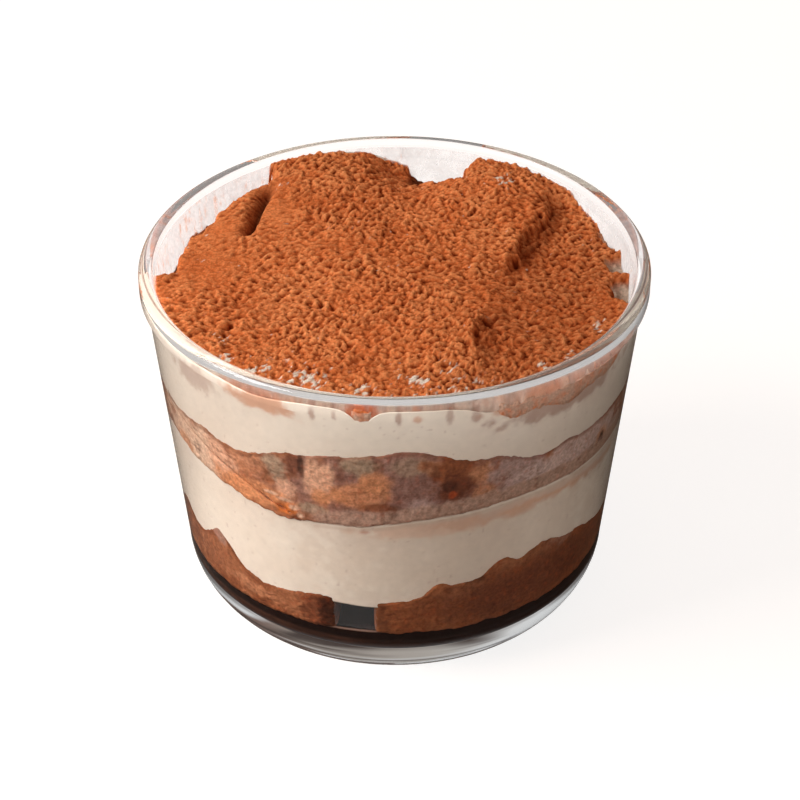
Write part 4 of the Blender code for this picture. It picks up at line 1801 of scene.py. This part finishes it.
# the darkest pit-coloured stains below are painted shade in pits and creases between the lumps
MID_STAINS = (
    Stain(2, 46.0, 31, 10.0, Tone.SPONGE_DUSK, 1.0),
    Stain(-57, 42.5, 13, 5.0, Tone.SPONGE_PEACH, 1.0),
    Stain(-62, 40.0, 4, 2.4, Tone.SPONGE_GOLD, 0.7),
    Stain(-45, 43.5, 5, 3.4, Tone.SPONGE_PALE, 0.9),
    Stain(-37, 46.5, 5, 3.0, Tone.SPONGE_LUMP, 0.7),
    Stain(-28.5, 46.8, 3.2, 3.0, Tone.SPONGE_OLIVE, 0.9),
    Stain(-23.8, 48.6, 1.7, 3.0, Tone.SPONGE_SOAKED, 0.8),
    Stain(-26.0, 42.8, 2.8, 2.0, Tone.SPONGE_PALE, 0.7),
    Stain(-36, 39.6, 10, 2.4, Tone.SPONGE_GOLD, 1.0),
    Stain(-26.5, 38.2, 3.2, 1.3, Tone.SPONGE_AMBER, 1.0),
    Stain(-17.4, 46.4, 3.8, 4.6, Tone.SPONGE_PALE, 1.0),
    Stain(-17.0, 42.8, 2.6, 2.0, Tone.SPONGE_GOLD, 0.9),
    Stain(-19.4, 39.8, 2.8, 1.2, Tone.SPONGE_OLIVE, 0.9),
    Stain(-12.4, 48.6, 1.3, 3.2, Tone.SPONGE_SOAKED, 0.4),
    Stain(-7.8, 50.4, 3.9, 2.3, Tone.SPONGE_OLIVE, 0.9),
    Stain(-3.6, 50.4, 1.2, 2.2, Tone.SPONGE_SOAKED, 0.5),
    Stain(-9.0, 43.6, 6.0, 2.7, Tone.SPONGE_LUMP, 1.0),
    Stain(-4.0, 46.4, 4.0, 2.6, Tone.SPONGE_LUMP, 1.0),
    Stain(-5.0, 46.4, 2.4, 1.4, Tone.SPONGE_GOLD, 0.6),
    Stain(-13.0, 43.2, 2.2, 1.6, Tone.SPONGE_GOLD, 0.6),
    Stain(-4.0, 41.6, 4.4, 1.0, Tone.SPONGE_BROWN, 0.8),
    Stain(4.0, 50.2, 4.4, 2.0, Tone.SPONGE_OLIVE, 0.6),
    Stain(9.0, 50.0, 3.2, 1.8, Tone.SPONGE_LUMP, 0.8),
    Stain(14.0, 48.6, 7.0, 4.2, Tone.SPONGE_BROWN, 1.0),
    Stain(20.0, 47.4, 3.4, 2.4, Tone.SPONGE_LUMP, 0.9),
    Stain(14.5, 45.2, 4.6, 2.8, Tone.SPONGE_SOAKED, 1.0),
    Stain(12.6, 45.8, 2.4, 1.2, Tone.SHADE_PIT, 0.6),
    Stain(13.6, 43.8, 0.8, 0.7, Tone.SPONGE_EMBER, 0.8),
    Stain(21.5, 43.2, 3.4, 1.8, Tone.SPONGE_LUMP, 0.8),
    Stain(6.2, 41.8, 3.2, 1.7, Tone.SPONGE_MAUVE, 0.9),
    Stain(9.7, 53.9, 1.5, 1.0, Tone.SHADE_PIT, 1.0),
    Stain(31, 46.0, 8, 5.5, Tone.SPONGE_MAUVE, 1.0),
    Stain(50, 43.5, 17, 5.0, Tone.SPONGE_HAZE, 0.95),
    Stain(59.5, 41.8, 2.4, 2.6, Tone.SPONGE_GOLD, 0.7),
    Stain(59.5, 41.8, 1.1, 1.5, Tone.SHADE_PIT, 0.9),
    Band(MID_TOP, -0.8, 0.6, -180, 180, Tone.SPONGE_SOAKED, 0.5, 0.2, 0.4),
    *LEDGE,
    Stain(-24.0, 36.9, 1.3, 0.9, Tone.SPONGE_SOAKED, 0.9),
    Stain(-30.5, 40.9, 1.9, 0.35, Tone.SPONGE_PEACH, 0.8),
    Stain(-27.0, 40.3, 1.9, 0.35, Tone.SPONGE_PEACH, 0.8),
    Stain(-24.4, 39.0, 1.3, 0.5, Tone.SPONGE_PEACH, 0.8),
    Stain(-22.8, 37.6, 1.0, 0.6, Tone.SPONGE_PEACH, 0.8),
    Stain(-21.7, 48.9, 0.8, 2.8, Tone.SHADE_PIT, 0.8),
)
# the darkest pit-coloured stains below are painted shade, most of it round the hollow between the
# lower fingers
LOW_STAINS = (
    Stain(-52, 18.5, 15, 4.0, Tone.SPONGE, 0.6),
    Stain(-40, 16.0, 9, 1.4, Tone.SPONGE_LUMP, 0.6),
    Band(LOW_TOP, -1.0, 0.4, -70, -24, Tone.SPONGE_SOAKED, 0.65, 0.25),
    Stain(-51.3, 24.2, 2.6, 2.0, Tone.SPONGE_FILM, 0.8),
    Stain(-27, 16.5, 9, 3.0, Tone.SPONGE, 0.6),
    Stain(-20.5, 16.5, 4.0, 5.0, Tone.SPONGE_SOAKED, 0.85),
    Stain(-17.5, 16.5, 2.6, 5.0, Tone.SHADE_PIT, 0.85),
    Stain(-3.2, 16.0, 1.8, 5.0, Tone.SHADE_PIT, 0.55),
    Stain(4, 17.5, 6, 4.5, Tone.SPONGE_BROWN, 0.8),
    Stain(18, 22.0, 5, 2.2, Tone.SPONGE, 0.6),
    Stain(34, 26.0, 7, 2.4, Tone.SPONGE, 0.6),
    Stain(21, 23.5, 3, 1.0, Tone.SHADE_PIT, 0.5),
    Stain(27, 27.0, 1.4, 0.8, Tone.SPONGE_EMBER, 0.9),
    Stain(40, 18.0, 26, 5.0, Tone.SPONGE_SOAKED, 0.85),
    Stain(48, 26.5, 6, 3.0, Tone.SPONGE_FILM, 0.4),
)


@dataclass(frozen=True)
class WallPaint:
    """Colours for a filling's side: a base tone, stains and a mottling."""

    base: Tone
    stains: tuple[Stain | Band, ...]
    seed: int
    speck_size: float = 0.7
    speck_rarity: float = 0.84
    cloud_size: float = 8.0
    grain_size: float = 0.9

    def cream(self, points: np.ndarray) -> np.ndarray:
        """The cream's colours, with the cocoa film smeared on it and a few specks."""
        azimuth = azimuth_of(points[:, 0], points[:, 1])
        relief = Relief(self.seed)
        ragged = relief.rough(points, 1.8, 4)
        tint = self.base.over(points)
        clouds = relief.rough(points, self.cloud_size, 2)
        tint = blend(tint, Tone.CREAM_SHADE, 0.12 + 0.2 * clouds)
        tint = stained(tint, self.stains, azimuth, points[:, 2], ragged)
        specks = step(Relief(self.seed + 3).at(points, self.speck_size) - self.speck_rarity, 0.05)
        return blend(tint, Tone.SPONGE_FILM, 0.3 * specks)

    def sponge(self, points: np.ndarray, crumb: np.ndarray) -> np.ndarray:
        """The sponge's colours: golden crumb, soaked parts, film, and dark pits painted where the
        crumb sinks in, a painted shade.
        """
        azimuth = azimuth_of(points[:, 0], points[:, 1])
        relief = Relief(self.seed)
        ragged = relief.rough(points, 2.2, 5)
        grain = Relief(self.seed + 1).rough(points, self.grain_size, 3)
        tint = self.base.over(points)
        tint = blend(tint, Tone.SPONGE_GOLD, 0.3 * (ragged + 0.2))
        tint = blend(tint, Tone.SPONGE_SOAKED, 0.4 * (-ragged))
        tint = stained(tint, self.stains, azimuth, points[:, 2], ragged)
        tint = blend(tint, Tone.SPONGE_EMBER, 0.5 * (grain - 0.25))
        tint = blend(tint, Tone.SPONGE_SOAKED, 0.9 * (-grain - 0.2))
        # where the crumb sinks in it is painted dark: painted shade in the pits
        return blend(tint, Tone.SHADE_PIT, 0.9 * np.clip(-crumb - 0.25, 0.0, 0.5))


# ---------------------------------------------------------------- the whole dessert


@dataclass(frozen=True)
class Pool:
    """The coffee in the bottom of the glass, with its edge drawn up the wall."""

    vessel: Tumbler
    level: float
    bite: float = 0.15
    refracted_band: tuple[float, float] = (8.2, 10.4)
    gap: tuple[float, float] = (-19.0, -4.5)
    creep: float = 0.7
    creep_width: float = 1.6
    around: int = 360
    wall_rings: int = 26

    def paint(self, points: np.ndarray) -> np.ndarray:
        """The coffee's colours: a band painted low on the left for the sponge seen refracted through
        the heel, and a painted highlight along the edge in the gap.
        """
        azimuth = azimuth_of(points[:, 0], points[:, 1])
        height = points[:, 2]
        # a brown band painted low on the left, a painted reflection of the sponge seen refracted
        # through the heel
        refracted_band = step(height - self.refracted_band[0], 0.4) * step(self.refracted_band[1] - height, 0.3)
        left = step(azimuth + 85.0, 8.0) * step(-8.0 - azimuth, 14.0)
        streaks = 0.8 + 0.5 * Relief(95).rough(points * np.array([0.3, 0.3, 1.0]), 0.9, 2)
        tint = Tone.COFFEE.over(points)
        tint = blend(tint, Tone.REFRACTED_SPONGE_BROWN, 0.8 * refracted_band * left * streaks)
        # a pale line painted at the top edge in the gap between the lower fingers, a painted
        # highlight on the meniscus
        between = step(azimuth - self.gap[0], 1.2) * step(self.gap[1] - azimuth, 1.0)
        edge = step(height - self.level - self.creep + 0.3, 0.05)
        return blend(tint, Tone.SPONGE_FILM, 0.8 * between * edge)

    def build(self, finish: bpy.types.Material, wet: bpy.types.Material) -> bpy.types.Object:
        """Turns the pool's section about the axis and dresses it.

        Args:
            finish: The material against the glass.
            wet: The material of the open surface.

        Returns:
            The pool.
        """
        foot = self.vessel.floor_height - self.bite
        heights = np.linspace(self.vessel.floor_height, self.level + self.creep, self.wall_rings)
        wall = self.vessel.inner(heights) + self.bite
        section = [(share * float(wall[0]), foot) for share in (0.4, 0.8, 0.97)]
        section += [(float(radius), float(height)) for radius, height in zip(wall, heights)]
        edge = float(wall[-1])
        for share in np.linspace(0.1, 1.0, 8):
            height = self.level + self.creep * (1.0 - share) ** 2
            section.append((edge - self.creep_width * share, height))
        section += [(edge * share, self.level) for share in (0.6, 0.3)]
        points, faces = turned_body([(0.0, foot), *section, (0.0, self.level)], self.around)
        piece = mesh_object("coffee_pool", points, faces, finish, self.paint(points))

        def open_surface(centres: np.ndarray) -> np.ndarray:
            """Which faces lie on top, clear of the wall."""
            return (radius_of(centres) < edge - 0.02) & (centres[:, 2] > self.level - 0.05)

        refinish(piece, wet, open_surface)
        return dress(piece, "coffee", "coffee")


class Dessert:
    """The glass and everything in it."""

    ROLLED_TOP = 47.0
    ROLLED_WALL_X = -37.0
    ROLLED_SLOPE = 0.46
    ROLLED_THIN = 0.5
    POOL_GAP = 0.05
    OVERLAP = 1.3
    BITE = 0.15

    def __init__(self) -> None:
        """Takes the glass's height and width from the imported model."""
        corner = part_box("glass")[1]
        self.vessel = Tumbler(height=corner[2] / MM, rim_radius=corner[0] / MM)
        self.heap = Heap(self.vessel, level("cocoa", True))

    def rolled_top(self, x: np.ndarray, y: np.ndarray) -> np.ndarray:
        """The sloping upper face of the finger rolled against the left wall."""
        slope = self.ROLLED_TOP - self.ROLLED_SLOPE * (x - self.ROLLED_WALL_X)
        return np.maximum(slope, MID_UNDER.field(self.vessel)(x, y) + self.ROLLED_THIN)

    def fingers(self) -> list[Finger]:
        """The sponge fingers of both layers."""
        vessel = self.vessel
        pool = level("coffee", True)
        low_top = LOW_TOP.field(vessel)
        mid_top = MID_TOP.field(vessel)
        mid_under = MID_UNDER.field(vessel)

        def pool_top(x: np.ndarray, y: np.ndarray) -> np.ndarray:
            """The level pool that the lower fingers stand on."""
            return np.full_like(x, pool + self.POOL_GAP)

        return [
            Finger("finger_low_left", 4.0, -60.0, -7.0, pool_top, low_top, 17.0, 41),
            Finger("finger_low_right", 0.0, -3.4, 30.2, pool_top, low_top, 17.0, 43),
            Finger("finger_low_side", 0.0, 28.8, 60.0, pool_top, low_top, 17.0, 45),
            Finger("finger_mid_left", 0.0, -60.0, -14.4, mid_under, self.rolled_top, 42.0, 47),
            Finger("finger_mid_wedge", 0.0, -36.5, -14.8, self.rolled_top, mid_top, 43.0, 49),
            Finger("finger_mid_centre", 0.0, -17.2, 17.6, mid_under, mid_top, 45.0, 51),
            Finger("finger_mid_right", 0.0, 14.6, 60.0, mid_under, mid_top, 43.0, 53),
        ]

    def build(self) -> None:
        """Builds every piece from the bottom up."""
        vessel, heap = self.vessel, self.heap
        cream, sponge = CREAM.make(), SPONGE.make()
        Pool(vessel, level("coffee", True)).build(COFFEE.make(), WET_COFFEE.make())
        low_paint = WallPaint(Tone.SPONGE_BROWN, LOW_STAINS, 61)
        mid_paint = WallPaint(Tone.SPONGE, MID_STAINS, 61)
        for finger in self.fingers():
            paint = low_paint if finger.middle < LOW_TOP.base else mid_paint
            finger.build(vessel, sponge, paint.sponge)
        cream_paint = WallPaint(Tone.CREAM, CREAM_STAINS, 71)
        low = LOW_TOP.field(vessel, -self.OVERLAP), MID_UNDER.field(vessel, self.OVERLAP)
        high = MID_TOP.field(vessel, -self.OVERLAP), heap.cream
        for node, faces, middle in (("cream_lower", low, 30.0), ("cream_upper", high, 55.0)):
            layer = Filling(node + "_layer", "cream", vessel, *faces, middle, self.BITE)
            layer.build(cream, cream_paint.cream, node)
        heap.build(COCOA.make())
        WallFilm(vessel).build(FILM.make())
        vessel.build(GLASS.make(), GROUND_GLOWING_BASE.make())


# ---------------------------------------------------------------- the studio


@dataclass(frozen=True)
class Studio:
    """The floor, the lights and the camera."""

    elevation: float = 35.3
    distance: float = 368.8
    aim_x: float = 0.9
    aim_height: float = 34.7
    lens: float = 94.1
    sensor: float = 36.0
    key_place: tuple[float, float, float] = (-0.45, -0.13, 0.42)
    key_size: float = 0.32
    key_power: float = 3.25
    key_colour: Colour = (0.97, 0.98, 1.0)
    bright_x: float = -0.7
    dim_x: float = 0.9
    bright_side: Colour = (1.1, 1.1, 1.1)
    dim_side: Colour = (0.76, 0.72, 0.69)
    ambient: Colour = (0.29, 0.215, 0.165)

    def build(self) -> None:
        """Sets up the whole studio."""
        self.floor()
        self.world()
        self.key()
        self.camera()

    def floor(self) -> None:
        """Lays the plain pale floor."""
        bpy.ops.mesh.primitive_plane_add(size=6.0, location=(0.0, 0.0, 0.0))
        floor = bpy.context.object
        floor.name = "floor"
        floor.data.materials.append(FLOOR.make())

    def world(self) -> None:
        """Makes the soft white surroundings."""
        world = bpy.data.worlds.new("soft_white")
        bpy.context.scene.world = world
        world.use_nodes = True
        board = NodeBoard(world.node_tree)
        parts = board.add("SeparateXYZ")
        board.put(parts.inputs["Vector"], board.add("TexCoord").outputs["Generated"])
        side = board.mapped(parts.outputs["X"], 0.0, 1.0, self.bright_x, self.dim_x)
        seen = board.blended(side, (*self.bright_side, 1.0), (*self.dim_side, 1.0))
        lit = board.add("LightPath").outputs["Is Diffuse Ray"]
        cast = board.blended(lit, seen, (*self.ambient, 1.0))
        board.put(world.node_tree.nodes["Background"].inputs["Color"], cast)

    def key(self) -> None:
        """Hangs the soft square light that faces the dessert from the left."""
        lamp = bpy.data.lights.new("key", "AREA")
        lamp.size = self.key_size
        lamp.energy = self.key_power
        lamp.color = self.key_colour
        holder = bpy.data.objects.new("key", lamp)
        bpy.context.scene.collection.objects.link(holder)
        holder.location = self.key_place
        away = np.array(self.key_place) - np.array([0.0, 0.0, 0.04])
        lean = math.atan2(math.hypot(away[0], away[1]), away[2])
        holder.rotation_euler = (lean, 0.0, math.atan2(away[1], away[0]) + math.pi / 2.0)

    def camera(self) -> None:
        """Places the camera in front, looking down on the dessert."""
        lens = bpy.data.cameras.new("camera")
        lens.lens = self.lens
        lens.sensor_width = self.sensor
        lens.clip_start = 0.01
        holder = bpy.data.objects.new("camera", lens)
        bpy.context.scene.collection.objects.link(holder)
        tilt = math.radians(self.elevation)
        back = self.distance * math.cos(tilt)
        up = self.aim_height + self.distance * math.sin(tilt)
        holder.location = (self.aim_x * MM, -back * MM, up * MM)
        holder.rotation_euler = (math.pi / 2.0 - tilt, 0.0, 0.0)
        bpy.context.scene.camera = holder


def main() -> None:
    """Builds the dessert and the studio."""
    logging.basicConfig(level=logging.INFO, format="%(name)s: %(message)s")
    bpy.context.scene.view_settings.view_transform = "Standard"
    Dessert().build()
    Studio().build()


if __name__ == "__main__":
    main()
